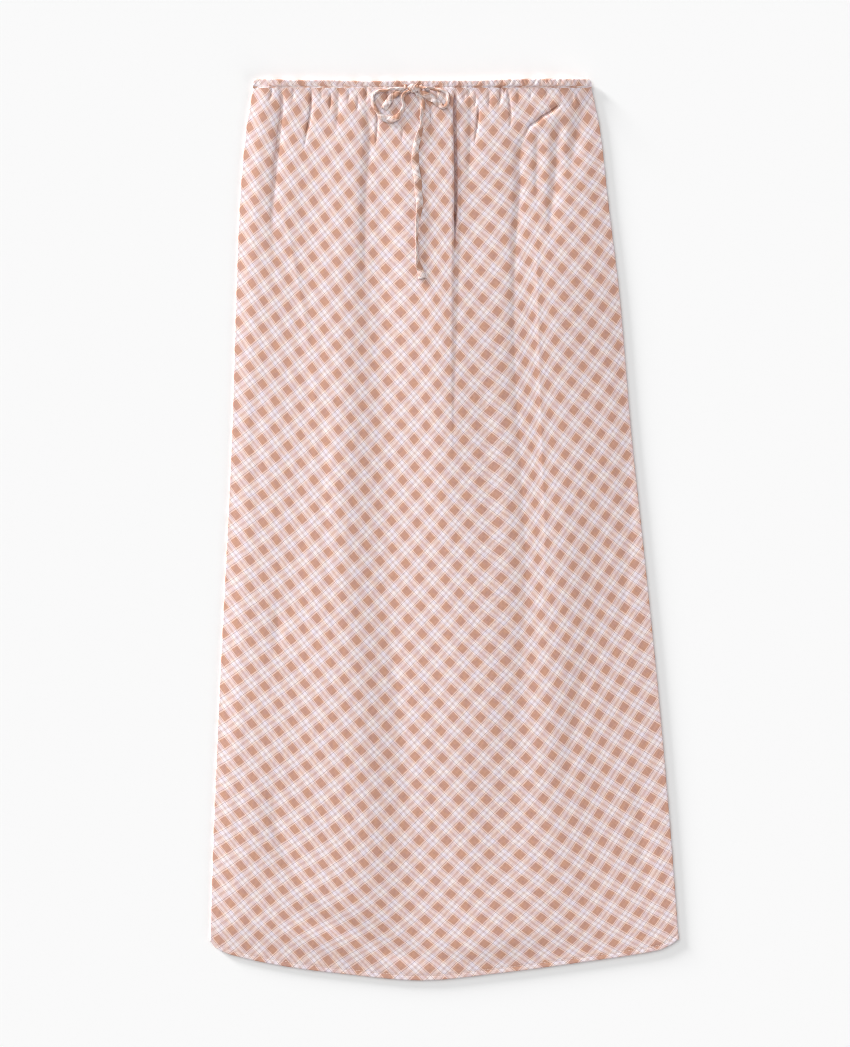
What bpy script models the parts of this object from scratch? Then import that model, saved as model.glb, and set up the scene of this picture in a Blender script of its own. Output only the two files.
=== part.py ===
"""A long bias-cut skirt laid flat: two panels, two ruched waist casings and a self-fabric tie in a bow.

The skirt lies on its back. X runs across it, Y from the hem to the waist, and Z up through the cloth.
Sizes in the tables are in millimetres, and "down" is the distance below the waist edge.
"""

import math
from collections import namedtuple

import bmesh
import bpy
from mathutils import Matrix, Vector

MM = 0.001

# Driving sizes
LENGTH = 953.2
WALL = 1.2
HEM_WALL = 1.8
HEM_DEPTH = 5.0
SEAM_GAP = 0.3
CASING_HEIGHT = 10.0
CASING_THICKNESS = 3.0
LEAST_GAP = 0.35
TIE_WIDTH = 8.0
TIE_THICKNESS = 1.2
TIE_CLEARANCE = 0.45

# The side turns: the angles at which an arc is cut, and the straight stretch that ends it
ARC_ANGLES = (90.0, 60.0, 30.0)
SEAM_LIP = 0.3

PANEL_TOP = CASING_HEIGHT + SEAM_GAP

Guide = namedtuple("Guide", "down left swell groove centre pleat under valley crest dip right")

# Where the long folds run across the skirt, from the left side to the right
ACROSS = (
    Guide(10, -202.6, -158, -82, -36.5, 8, 11.2, 58.7, 101, 138, 155.5),
    Guide(54, -210.0, -153, -82, -36.5, 8.5, 11.8, 80, 106, 143, 164.5),
    Guide(128, -216.4, -142, -83, -38.6, 8, 11.4, 75.6, 104, 154, 173),
    Guide(234, -220.6, -138, -85, -38.6, 8, 12, 73.5, 102, 162.4, 185.7),
    Guide(371, -224.8, -136, -85, -36.5, 8, 13, 76.7, 102, 164.5, 197.3),
    Guide(509, -231.2, -132.8, -81, -31, 9, 16.4, 80, 103, 146.5, 212),
    Guide(657, -238.6, -123, -70.4, -26, 11, 21.7, 74.6, 98, 142.3, 227),
    Guide(795, -244.4, -110.6, -54.5, -17.5, 14.3, 27, 66, 94.7, 150.8, 239),
    Guide(916, -248.1, -100, -32, -11, 18.5, 33, 64, 94.7, 160, 248.1),
)

# How far the front stands off the back along the same folds
STAND_OFF = (
    Guide(10, 2.3, 2.8, 2.0, 2.9, 3.4, 1.8, 2.1, 3.0, 2.1, 2.3),
    Guide(54, 2.6, 4.4, 1.6, 4.8, 6.2, 1.8, 1.6, 5.0, 2.4, 2.6),
    Guide(128, 2.5, 4.2, 0.9, 4.6, 6.0, 1.5, 1.0, 5.2, 2.0, 2.5),
    Guide(234, 2.4, 4.2, 0.6, 4.2, 5.0, 1.4, 0.9, 4.8, 1.2, 2.4),
    Guide(371, 2.3, 4.1, 0.6, 4.0, 4.0, 1.5, 0.9, 4.6, 0.8, 2.3),
    Guide(509, 2.2, 3.8, 0.6, 3.8, 3.2, 1.9, 0.9, 4.4, 0.7, 2.2),
    Guide(657, 2.1, 3.2, 0.6, 3.4, 2.8, 1.9, 0.9, 4.0, 0.7, 2.1),
    Guide(795, 2.0, 2.4, 0.6, 2.8, 2.4, 1.7, 1.0, 3.2, 0.7, 2.0),
    Guide(916, 1.9, 1.6, 0.7, 2.1, 1.9, 1.4, 1.1, 1.9, 0.9, 1.9),
)
VALLEYS = ("groove", "under", "valley", "dip")

# A hill stays high and drops close to its valley: the larger this is, the closer
DROP = 2.2
FOLDS = Guide._fields[1:]

Hem = namedtuple("Hem", "across down")

# The hem edge, from the left corner (0) to the right one (1)
HEM = (
    Hem(0.0, 910.5),
    Hem(0.012, 918.5),
    Hem(0.045, 926.0),
    Hem(0.15, 937.5),
    Hem(0.28, 946.0),
    Hem(0.45, LENGTH),
    Hem(0.6, 946.5),
    Hem(0.8, 933.5),
    Hem(0.955, 921.5),
    Hem(0.985, 914.5),
    Hem(1.0, 909.5),
)

Gather = namedtuple("Gather", "top foot start end depth half_width")

# Short creases that the elastic draws into the front below its casing; a negative depth is a small ridge
GATHERS = (
    Gather(-187, -189, 8, 30, 1.8, 4.0),
    Gather(-175, -184, 8, 130, 2.4, 4.5),
    Gather(-158, -160, 8, 36, -1.0, 5.0),
    Gather(-141, -149, 12, 92, 2.4, 4.0),
    Gather(-120, -121, 14, 38, 1.9, 3.5),
    Gather(-103, -104, 8, 34, -1.0, 5.0),
    Gather(-84, -85, 8, 30, 1.4, 3.5),
    Gather(-70, -71, 22, 70, 1.6, 3.5),
    Gather(-52, -54, 8, 60, -0.9, 6.0),
    Gather(-20, -19, 8, 50, 1.6, 4.0),
    Gather(34, 33, 14, 78, 2.2, 4.0),
    Gather(48, 47, 6, 32, 1.8, 3.5),
    Gather(59, 61, 6, 56, 1.8, 4.0),
    Gather(72, 73, 6, 34, -1.1, 5.0),
    Gather(116, 86, 28, 58, 2.8, 5.0),
    Gather(86, 74, 48, 190, 1.2, 6.0),
    Gather(108, 106, 48, 136, 1.4, 6.0),
    Gather(124, 127, 6, 36, -1.3, 5.0),
    Gather(138, 147, 8, 38, 2.2, 4.0),
    Gather(-176, -176, 560, 616, 1.2, 9.0),
    Gather(-178, -76, 770, 926, 1.5, 14.0),
)

# The shares of a gather's length over which it grows at its top and fades at its foot
GATHER_GROWS = 0.25
GATHER_FADES = 0.5

# How the columns and rows of the panels are spread
WIDEST_COLUMN = 9.0
NARROWEST_COLUMN = 3.2
FIRST_ROW = 4.0
ROW_GROWTH = 1.3
WIDEST_ROW = 72.0
HEM_STEP = 1.0
HEM_ROWS = (80.0, 45.0, 22.0, 11.0, HEM_DEPTH + HEM_STEP, HEM_DEPTH - HEM_STEP)
SIDE_FADE = 0.3
SIDE_COLUMNS = (0.0, 0.09, 0.3)
HEM_SETTLES = 45.0
BACK_COLUMN = 26.0
BACK_ROW_GROWTH = 1.7

Ruche = namedtuple("Ruche", "across height")

# How high the gathers of the casing stand, from the left end (0) to the right (1)
RUCHES = (
    Ruche(0.0, 0.25),
    Ruche(0.25, 0.35),
    Ruche(0.5, 0.5),
    Ruche(0.65, 0.7),
    Ruche(0.95, 0.8),
    Ruche(1.0, 0.4),
)
RUCHE_SPACING = 8.2
RUCHE_UNEVENNESS = (0.22, 0.12)

# A gather's dip lies nearer its own crest, and its swell starts before the next one
DIP_SHARE = 0.42
SWELL_SHARE = 0.6
SWELL_START = 0.1

# The ends of a casing, which close in at the side seams
CASING_END = 2.5
END_SHARE = 0.8

Exit = namedtuple("Exit", "place half_width depth")

# The two buttonholes that the tie comes out of
EXITS = (
    Exit(-42.0, 4.0, 1.1),
    Exit(-23.5, 4.0, 1.1),
)

Profile = namedtuple("Profile", "down height")

# A casing's section: flat inside, pinched at its stitching and full over the elastic
CASING_SECTION = (
    Profile(CASING_HEIGHT, 0.0),
    Profile(CASING_HEIGHT, 0.5),
    Profile(6.6, 0.96),
    Profile(1.8, 1.0),
    Profile(0.0, 0.5),
    Profile(1.2, 0.0),
)
FULL_HEIGHT = 0.9

Knot = namedtuple("Knot", "x down wide tall high")
KNOT = Knot(-32.8, 10.6, 17.5, 12.4, 6.4)
KNOT_WRAPS = 3
KNOT_GROOVE = 0.035
KNOT_LEAN = 4.0
KNOT_SEGMENTS = (14, 9)

Strand = namedtuple("Strand", "x down lift tilt width")

# The tie's own route, piece by piece: lift is above the cloth, and tilt turns the band on its edge
LEFT_LOOP = (
    Strand(-41.2, 8.6, 1.0, 20, 0.5),
    Strand(-49.0, 8.8, 0.8, 40, 0.7),
    Strand(-60.8, 10.6, 0.3, 55, 0.9),
    Strand(-70.4, 14.0, 0.1, 65, 0.9),
    Strand(-74.4, 20.5, 0.1, 66, 0.9),
    Strand(-73.4, 29.6, 0.1, 60, 0.95),
    Strand(-68.6, 37.4, 0.1, 48, 1.0),
    Strand(-60.8, 42.2, 0.1, 36, 1.0),
    Strand(-52.4, 42.4, 0.1, 36, 1.0),
    Strand(-45.8, 38.0, 0.1, 48, 1.0),
    Strand(-43.2, 30.7, 0.1, 58, 0.95),
    Strand(-42.0, 23.5, 0.6, 50, 0.75),
    Strand(-38.4, 17.3, 1.6, 30, 0.5),
)
RIGHT_LOOP = (
    Strand(-25.8, 15.6, 1.8, 25, 0.5),
    Strand(-19.6, 20.6, 0.6, 45, 0.8),
    Strand(-12.4, 27.0, 0.2, 62, 0.9),
    Strand(-6.6, 31.8, 0.1, 75, 0.9),
    Strand(-2.2, 33.2, 0.1, 80, 0.85),
    Strand(1.2, 29.6, 0.1, 80, 0.85),
    Strand(2.0, 22.0, 0.1, 75, 0.85),
    Strand(-1.4, 15.0, 0.1, 68, 0.85),
    Strand(-8.6, 10.6, 0.3, 55, 0.8),
    Strand(-16.4, 9.4, 0.7, 40, 0.65),
    Strand(-23.8, 9.3, 1.0, 25, 0.5),
)
SHORT_TAIL = (
    Strand(-41.2, 13.4, 0.2, 10, 0.4),
    Strand(-47.8, 15.8, 0.0, 8, 0.75),
    Strand(-55.0, 20.8, 0.0, 5, 0.9),
    Strand(-62.6, 29.0, 0.0, 3, 0.95),
)
LONG_TAIL = (
    Strand(-30.4, 17.2, 0.2, 5, 0.5),
    Strand(-25.0, 24.0, 0.0, 8, 0.8),
    Strand(-23.0, 34.0, 0.0, 12, 0.95),
    Strand(-25.0, 44.0, 0.0, 38, 0.9),
    Strand(-28.0, 57.0, 0.0, 30, 0.9),
    Strand(-31.2, 72.0, 0.0, 8, 0.9),
    Strand(-31.7, 86.0, 0.0, 0, 1.0),
    Strand(-30.7, 102.0, 0.0, 4, 1.0),
    Strand(-30.2, 117.0, 0.0, 12, 0.95),
    Strand(-29.1, 131.0, 0.0, 35, 0.9),
    Strand(-29.1, 144.0, 0.0, 62, 0.85),
    Strand(-29.6, 160.0, 0.0, 72, 0.8),
    Strand(-29.1, 181.0, 0.0, 62, 0.85),
    Strand(-28.6, 194.0, 0.0, 30, 0.95),
    Strand(-26.4, 208.0, 0.0, 5, 1.0),
)
TAIL_STEP = 8.0
LOOP_STEP = 4.5

# The band's section, as shares of half its width and half its thickness
BAND_SECTION = ((1, 0), (0.7, 1), (-0.7, 1), (-1, 0), (-0.7, -1), (0.7, -1))

Finish = namedtuple("Finish", "name colour roughness")
FRONT_CLOTH = Finish("checked viscose, front", (0.72, 0.53, 0.45), 0.82)
BACK_CLOTH = Finish("checked viscose, back", (0.70, 0.52, 0.44), 0.85)
CASING_CLOTH = Finish("ruched viscose casing", (0.68, 0.49, 0.41), 0.85)
TIE_CLOTH = Finish("pressed viscose tie", (0.74, 0.58, 0.51), 0.78)


def slope_at(table, row, column):
    """The slope of a column's smooth curve at one of the table's rows."""
    before = table[max(row - 1, 0)]
    after = table[min(row + 1, len(table) - 1)]
    return (getattr(after, column) - getattr(before, column)) / (after[0] - before[0])


def read(table, at, column):
    """A column's value between the rows of a table, on a smooth curve through them."""
    at = min(max(at, table[0][0]), table[-1][0])
    row = max(k for k in range(len(table) - 1) if table[k][0] <= at)
    low = table[row]
    high = table[row + 1]
    span = high[0] - low[0]
    t = (at - low[0]) / span
    rise = getattr(high, column) - getattr(low, column)
    leave = slope_at(table, row, column) * span
    arrive = slope_at(table, row + 1, column) * span
    bend = (leave + arrive - 2 * rise) * t + (3 * rise - 2 * leave - arrive)
    return getattr(low, column) + (leave + bend * t) * t


def mix(a, b, t):
    return a + (b - a) * t


def ease(t):
    """A smooth step from 0 to 1."""
    t = min(max(t, 0.0), 1.0)
    return t * t * (3 - 2 * t)


def fold_line(fold, down):
    """Where a long fold, or a side of the skirt, lies across it at this distance down."""
    return read(ACROSS, down, fold)


def side_radius(side, down):
    """The inner radius of the turn at a side, which the front's stand-off there leaves room for."""
    return (read(STAND_OFF, down, side) - 2 * SEAM_LIP - SEAM_GAP) / 2


def flat_end(side, down):
    """Where the flat of a panel ends and its turn at the side begins."""
    inwards = 1 if side == "left" else -1
    return fold_line(side, down) + inwards * (side_radius(side, down) + WALL)


def fold_place(index, down):
    """Where the fold of this index lies, with the two sides taken at the ends of the flat."""
    fold = FOLDS[index]
    return flat_end(fold, down) if fold in ("left", "right") else fold_line(fold, down)


def place_across(column, down):
    """The place across the skirt of a column: a whole number is a fold, and a fraction lies between two."""
    index = min(int(column), len(FOLDS) - 2)
    return mix(fold_place(index, down), fold_place(index + 1, down), column - index)


def column_at(x, down):
    """The column that lies at this place across the skirt."""
    places = [fold_place(k, down) for k in range(len(FOLDS))]
    x = min(max(x, places[0]), places[-1])
    index = max(k for k in range(len(FOLDS) - 1) if places[k] <= x)
    return index + (x - places[index]) / (places[index + 1] - places[index])


def gather_relief(x, down):
    """What the short creases add to the front's height: they fade in from the casing and out at their foot."""
    total = 0.0
    for gather in GATHERS:
        t = (down - gather.start) / (gather.end - gather.start)
        if 0 < t < 1:
            line = mix(gather.top, gather.foot, t)
            fade = ease(t / GATHER_GROWS) * ease((1 - t) / GATHER_FADES)
            total -= gather.depth * fade * math.exp(-(((x - line) / gather.half_width) ** 2))
    return total


def hem_edge(across):
    return read(HEM, across, "down")


def across_share(x, down):
    left = fold_line("left", down)
    return (x - left) / (fold_line("right", down) - left)


def stand_off(column, down):
    """The gap between the two panels at a column."""
    index = min(int(column), len(FOLDS) - 2)
    before = read(STAND_OFF, down, FOLDS[index])
    after = read(STAND_OFF, down, FOLDS[index + 1])
    t = column - index
    if FOLDS[index] in VALLEYS:
        return mix(after, before, ease((1 - t) ** DROP))
    return mix(before, after, ease(t**DROP if FOLDS[index + 1] in VALLEYS else t))


def inside(column):
    """0 at the ends of the flat and 1 from a little further in, where folds and hem have their full form."""
    return ease(min(column, len(FOLDS) - 1 - column) / SIDE_FADE)


def hem_doubling(column, share):
    """How much of the turned hem's extra thickness a point of a panel has, from 0 to 1."""
    from_hem = (1 - share) * (LENGTH - PANEL_TOP)
    return inside(column) * ease((HEM_DEPTH + HEM_STEP - from_hem) / (2 * HEM_STEP))


def front_under(column, down):
    """The height of the front's inner side above the floor."""
    x = place_across(column, down)
    hem = hem_edge(across_share(x, down))
    gap = stand_off(column, down) + gather_relief(x, down) * inside(column)
    settled = ease((hem - down) / HEM_SETTLES)
    gap = mix(LEAST_GAP, gap, mix(1.0, settled, inside(column)))
    doubling = hem_doubling(column, (down - PANEL_TOP) / (hem - PANEL_TOP))
    return mix(WALL, HEM_WALL, doubling) + max(gap, LEAST_GAP)


def cloth_top(x, down):
    """The height of the front's outer side, on the casing or below it."""
    if down < PANEL_TOP:
        return 2 * CASING_THICKNESS + SEAM_GAP + max(row.height for row in RUCHES)
    here = front_under(column_at(x, down), down)
    slope = front_under(column_at(x + 1.0, down), down) - here
    return here + WALL * math.sqrt(1 + slope * slope)


def row_shares(growth, hem_rows):
    """The rows of a panel as shares of its length: close together at the waist and the hem."""
    length = LENGTH - PANEL_TOP
    step = FIRST_ROW
    places = [0.0]
    while places[-1] + step < length - hem_rows[0] - step / 2:
        places.append(places[-1] + step)
        step = min(step * growth, WIDEST_ROW)
    places += [length - row for row in hem_rows] + [length]
    return [place / length for place in places]


def fold_columns():
    """The front's columns: one on every fold and crease, and others where these lie far apart."""
    marked = [(float(k), fold_place(k, PANEL_TOP)) for k in range(len(FOLDS))]
    for gather in GATHERS:
        if gather.start < 100:
            for shift in (-gather.half_width, 0.0, gather.half_width):
                x = gather.top + shift
                marked.append((column_at(x, gather.start), x))
    marked.sort()
    kept = [marked[0][0]]
    for column, _ in marked[1:]:
        span = place_across(column, PANEL_TOP) - place_across(kept[-1], PANEL_TOP)
        if span >= NARROWEST_COLUMN or (column.is_integer() and not kept[-1].is_integer()):
            if span < NARROWEST_COLUMN:
                kept.pop()
            fill(kept, column)
    return with_sides(kept)


def fill(kept, column):
    """Adds a column, and as many even ones before it as the widest allowed asks for."""
    down = PANEL_TOP
    span = place_across(column, down) - place_across(kept[-1], down)
    count = max(1, math.ceil(span / WIDEST_COLUMN))
    last = kept[-1]
    kept.extend(mix(last, column, k / count) for k in range(1, count + 1))


def with_sides(columns):
    """Columns whose outermost ones, which round the hem corners, are alike on the front and the back."""
    last = len(FOLDS) - 1
    spare = max(SIDE_COLUMNS) + SIDE_COLUMNS[1] / 2
    sides = [*SIDE_COLUMNS, *(last - column for column in SIDE_COLUMNS)]
    return sorted([*sides, *(column for column in columns if spare < column < last - spare)])


def even_columns():
    """The back's columns, evenly spread but for those at its sides."""
    count = math.ceil((fold_line("right", LENGTH) - fold_line("left", LENGTH)) / BACK_COLUMN)
    down = LENGTH / 2
    left = fold_place(0, down)
    right = fold_place(len(FOLDS) - 1, down)
    return with_sides(column_at(mix(left, right, k / count), down) for k in range(count + 1))


def row_down(column, share):
    """How far down a point of a row lies: rows are straight at the waist and follow the hem at the foot."""
    rough = mix(PANEL_TOP, LENGTH, share)
    across = across_share(place_across(column, rough), rough)
    return mix(PANEL_TOP, hem_edge(across), share)


def turn(side, share, angle, lip, front):
    """A point of a panel's turn at a side: on the front's inner side, or on the back's outer side."""
    down = row_down(0 if side == "left" else len(FOLDS) - 1, share)
    outwards = -1 if side == "left" else 1
    inner = side_radius(side, down)
    centre = flat_end(side, down)
    seam = inner + WALL + SEAM_LIP + SEAM_GAP / 2
    radians = math.radians(angle)
    if front:
        x = centre + outwards * inner * math.sin(radians)
        z = seam + SEAM_GAP / 2 + SEAM_LIP + inner * math.cos(radians)
        z -= SEAM_LIP if lip else 0.0
    else:
        outer = inner + WALL
        x = centre + outwards * outer * math.sin(radians)
        z = outer - outer * math.cos(radians)
        z += SEAM_LIP if lip else 0.0
    return x, down, z


def panel_stations(columns):
    """Every column with the turns at both sides, as (side, angle, lip, column)."""
    left = [("left", 90.0, True, None)]
    left += [("left", angle, False, None) for angle in ARC_ANGLES]
    right = [("right", angle, False, None) for angle in reversed(ARC_ANGLES)]
    right += [("right", 90.0, True, None)]
    return left + [(None, 0.0, False, column) for column in columns] + right


def panel_point(station, share, front):
    """The place in metres of a point of the front's inner side or the back's outer side."""
    side, angle, lip, column = station
    if side:
        x, down, z = turn(side, share, angle, lip, front)
    else:
        down = row_down(column, share)
        x = place_across(column, down)
        z = front_under(column, down) if front else 0.0
    return Vector((x, LENGTH / 2 - down, z)) * MM


def material(finish):
    """A plain cloth material."""
    made = bpy.data.materials.new(finish.name)
    made.use_nodes = True
    shader = made.node_tree.nodes["Principled BSDF"]
    shader.inputs["Base Color"].default_value = (*finish.colour, 1.0)
    shader.inputs["Roughness"].default_value = finish.roughness
    shader.inputs["Metallic"].default_value = 0.0
    made.diffuse_color = (*finish.colour, 1.0)
    return made


def add_object(name, shape, finish, group):
    """An object for a bmesh, shaded smooth, in the skirt's collection."""
    mesh = bpy.data.meshes.new(name)
    shape.to_mesh(mesh)
    shape.free()
    mesh.shade_smooth()
    made = bpy.data.objects.new(name, mesh)
    made.data.materials.append(material(finish))
    group.objects.link(made)
    return made


def panel(name, columns, shares, front, finish, group):
    """A panel: an open surface over its columns and rows, given its wall by Solidify."""
    stations = panel_stations(columns)
    shape = bmesh.new()
    bmesh.ops.create_grid(
        shape, x_segments=len(stations) - 1, y_segments=len(shares) - 1, size=1.0
    )
    hem_weights = []
    for vertex in shape.verts:
        across = round((vertex.co.x + 1) / 2 * (len(stations) - 1))
        row = len(shares) - 1 - round((vertex.co.y + 1) / 2 * (len(shares) - 1))
        vertex.co = panel_point(stations[across], shares[row], front)
        side, _, _, column = stations[across]
        hem_weights.append(0.0 if side else hem_doubling(column, shares[row]))
    made = add_object(name, shape, finish, group)
    doubled = made.vertex_groups.new(name="turned hem")
    for index, weight in enumerate(hem_weights):
        doubled.add([index], weight, "REPLACE")
    wall = made.modifiers.new("cloth", "SOLIDIFY")
    wall.thickness = HEM_WALL * MM
    wall.offset = 1.0
    wall.use_even_offset = True
    wall.vertex_group = doubled.name
    wall.thickness_vertex_group = WALL / HEM_WALL
    return made


def closed_tube(rings):
    """A bmesh through rings of points, with its two ends capped."""
    shape = bmesh.new()
    made = [[shape.verts.new(point) for point in ring] for ring in rings]
    count = len(rings[0])
    for first, second in zip(made, made[1:]):
        for k in range(count):
            after = (k + 1) % count
            shape.faces.new((first[k], first[after], second[after], second[k]))
    shape.faces.new(reversed(made[0]))
    shape.faces.new(made[-1])
    bmesh.ops.recalc_face_normals(shape, faces=shape.faces)
    return shape


def ruche_places(start, end, spacing):
    """The crests of the casing's gathers, with a slightly uneven step between them."""
    places = [start]
    number = 0
    while places[-1] < end - spacing * 0.8:
        slow, quick = RUCHE_UNEVENNESS
        uneven = 1 + slow * math.sin(2.4 * number) + quick * math.sin(5.3 * number + 1.0)
        places.append(min(places[-1] + spacing * uneven, end))
        number += 1
    places[-1] = end
    return places


def casing(name, level, spacing, ruche_share, exits, finish, group):
    """A waist casing: a closed band whose outer side swells between its gathers."""
    left = fold_line("left", 0.0)
    right = fold_line("right", 0.0)
    crests = ruche_places(left + CASING_END, right - CASING_END, spacing)
    places = []
    for crest, following in zip(crests, crests[1:]):
        places.append((crest, 1.0))
        places.append((mix(crest, following, DIP_SHARE), 0.0))
        places.append((mix(crest, following, SWELL_SHARE), SWELL_START))
    places.append((crests[-1], 1.0))
    rings = [casing_ring(left, level, 0.0, True, exits)]
    for x, swell in places:
        height = read(RUCHES, (x - left) / (right - left), "height") * ruche_share
        rings.append(casing_ring(x, level, swell * height, False, exits))
    rings.append(casing_ring(right, level, 0.0, True, exits))
    return add_object(name, closed_tube(rings), finish, group)


def casing_ring(x, level, swell, is_end, exits):
    """One section of a casing, narrowed at its ends and dented at a buttonhole."""
    dent = sum(hole.depth for hole in exits if abs(x - hole.place) < hole.half_width)
    ring = []
    for point in CASING_SECTION:
        down = mix(CASING_HEIGHT / 2, point.down, END_SHARE) if is_end else point.down
        height = point.height * (CASING_THICKNESS + swell)
        if is_end:
            height *= END_SHARE
        if point.height > FULL_HEIGHT:
            height -= dent
        ring.append(Vector((x + side_lean(x, down), LENGTH / 2 - down, level + height)) * MM)
    return ring


def side_lean(x, down):
    """The casing's ends follow the skirt's sides as these widen below the waist."""
    share = across_share(x, 0.0)
    left = fold_line("left", down) - fold_line("left", 0.0)
    right = fold_line("right", down) - fold_line("right", 0.0)
    return mix(left, right, share)


def highest_under(x, down, reach):
    """The highest the cloth comes within this reach of a point."""
    steps = (-1.0, -0.5, 0.0, 0.5, 1.0)
    return max(cloth_top(x + reach * a, down + reach * b) for a in steps for b in steps)


def smooth_route(rows, step):
    """Strand rows read from a smooth curve through the given ones, about a step apart."""
    Placed = namedtuple("Placed", ("at",) + Strand._fields)
    travelled = 0.0
    table = []
    for k, row in enumerate(rows):
        if k:
            travelled += math.hypot(row.x - rows[k - 1].x, row.down - rows[k - 1].down)
        table.append(Placed(travelled, *row))
    count = math.ceil(travelled / step)
    places = [travelled * k / count for k in range(count + 1)]
    return [Strand(*(read(table, at, field) for field in Strand._fields)) for at in places]


def tie_piece(name, rows, step, finish, group):
    """A flat band along a route, lying on the cloth and turned on its edge where its tilt says."""
    route = smooth_route(rows, step)
    centres = []
    for row in route:
        half = TIE_WIDTH * row.width / 2
        tilt = math.radians(abs(row.tilt))
        rise = half * math.sin(tilt) + TIE_THICKNESS / 2 * math.cos(tilt)
        under = highest_under(row.x, row.down, half * math.cos(tilt))
        centres.append(Vector((row.x, LENGTH / 2 - row.down, under + TIE_CLEARANCE + row.lift + rise)))
    rings = []
    for k, row in enumerate(route):
        along = (centres[min(k + 1, len(centres) - 1)] - centres[max(k - 1, 0)]).normalized()
        aside = along.cross(Vector((0, 0, 1))).normalized()
        aside = Matrix.Rotation(math.radians(row.tilt), 3, along) @ aside
        through = aside.cross(along).normalized()
        half = TIE_WIDTH * row.width / 2
        rings.append([
            (centres[k] + aside * half * a + through * TIE_THICKNESS / 2 * b) * MM
            for a, b in BAND_SECTION
        ])
    return add_object(name, closed_tube(rings), finish, group)


def tie_knot(name, finish, group):
    """The knot: a rounded wrap with the soft grooves of the band's turns round it."""
    shape = bmesh.new()
    around, upwards = KNOT_SEGMENTS
    bmesh.ops.create_uvsphere(shape, u_segments=around, v_segments=upwards, radius=0.5)
    under = highest_under(KNOT.x, KNOT.down, KNOT.tall / 2)
    centre = Vector((KNOT.x, LENGTH / 2 - KNOT.down, under + TIE_CLEARANCE + KNOT.high / 2))
    for vertex in shape.verts:
        turn_angle = math.atan2(vertex.co.y, vertex.co.x)
        groove = 1 - KNOT_GROOVE * (1 + math.cos(KNOT_WRAPS * turn_angle + KNOT_LEAN * vertex.co.z))
        place = Vector((vertex.co.x * KNOT.wide, vertex.co.y * KNOT.tall, vertex.co.z * KNOT.high))
        vertex.co = (centre + place * groove) * MM
    return add_object(name, shape, finish, group)


def build():
    for old in list(bpy.data.objects):
        bpy.data.objects.remove(old)
    group = bpy.data.collections.new("maxi skirt")
    bpy.context.scene.collection.children.link(group)

    front_rows = row_shares(ROW_GROWTH, HEM_ROWS)
    back_rows = row_shares(BACK_ROW_GROWTH, HEM_ROWS[1:])
    panel("front_panel", fold_columns(), front_rows, True, FRONT_CLOTH, group)
    panel("back_panel", even_columns(), back_rows, False, BACK_CLOTH, group)
    casing("front_casing", CASING_THICKNESS + SEAM_GAP, RUCHE_SPACING, 1.0, EXITS, CASING_CLOTH, group)
    casing("back_casing", 0.0, RUCHE_SPACING * 2, 0.0, (), CASING_CLOTH, group)
    tie_knot("tie_knot", TIE_CLOTH, group)
    tie_piece("tie_left_loop", LEFT_LOOP, LOOP_STEP, TIE_CLOTH, group)
    tie_piece("tie_right_loop", RIGHT_LOOP, LOOP_STEP, TIE_CLOTH, group)
    tie_piece("tie_short_tail", SHORT_TAIL, LOOP_STEP, TIE_CLOTH, group)
    tie_piece("tie_long_tail", LONG_TAIL, TAIL_STEP, TIE_CLOTH, group)


build()
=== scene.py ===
"""A long bias-cut skirt laid flat and seen from straight above: its cloth, ruched waist, bow and stitching.

The skirt lies on its back. X runs across it, Y from the hem to the waist, and Z up through the cloth.
Sizes in the tables are in millimetres, and "down" is the distance below the waist edge.
"""

import logging
import math
from dataclasses import dataclass
from enum import Enum
from typing import NamedTuple, Sequence

import bpy
import numpy as np
from mathutils import Matrix, Vector

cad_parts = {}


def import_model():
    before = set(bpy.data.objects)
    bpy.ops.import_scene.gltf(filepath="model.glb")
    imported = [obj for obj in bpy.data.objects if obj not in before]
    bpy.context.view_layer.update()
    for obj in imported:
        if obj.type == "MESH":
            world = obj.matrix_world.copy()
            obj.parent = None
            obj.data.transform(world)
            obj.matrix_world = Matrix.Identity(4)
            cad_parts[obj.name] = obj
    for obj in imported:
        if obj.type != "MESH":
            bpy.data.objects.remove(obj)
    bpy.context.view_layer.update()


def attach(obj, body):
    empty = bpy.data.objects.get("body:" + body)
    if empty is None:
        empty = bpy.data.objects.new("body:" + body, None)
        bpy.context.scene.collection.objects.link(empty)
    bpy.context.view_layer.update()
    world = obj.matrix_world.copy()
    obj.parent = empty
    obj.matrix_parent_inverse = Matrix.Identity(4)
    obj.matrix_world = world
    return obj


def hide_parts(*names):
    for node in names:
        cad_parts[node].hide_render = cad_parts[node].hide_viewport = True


logging.basicConfig(level=logging.INFO, format="%(message)s")
log = logging.getLogger("maxi skirt")

MM = 0.001
Grid = np.ndarray
Tree = bpy.types.NodeTree
Socket = bpy.types.NodeSocket
Material = bpy.types.Material
Object = bpy.types.Object


class Point(NamedTuple):
    """A value at a place along a curve."""

    at: float
    value: float


class Guide(NamedTuple):
    """One value for each long fold, from the skirt's left side to its right, at one distance down."""

    down: float
    left: float
    rim: float
    swell: float
    lip: float
    groove: float
    centre: float
    pleat: float
    under: float
    lap: float
    valley: float
    crest: float
    dip: float
    right: float


class Crease(NamedTuple):
    """A crease along its path of places across and down, with its reach to the left and right of it."""

    depth: float
    left: float
    right: float
    path: tuple[tuple[float, float], ...]
    comes_in: float = 8.0
    goes_out: float = 0.5


class Drift(NamedTuple):
    """A place where folds and pulls have shifted the check, by so many half squares across and down."""

    x: float
    down: float
    reach_x: float
    reach_down: float
    across: float
    along: float


class Strand(NamedTuple):
    """A point of the tie's route: lift is above the cloth, and tilt turns the band on its edge."""

    x: float
    down: float
    lift: float
    tilt: float
    width: float


class Stripe(NamedTuple):
    """A stripe of one yarn, from the middle of the brown stripe outwards; brown is 1 for the brown yarn."""

    start: float
    yarn: str
    brown: float


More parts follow.
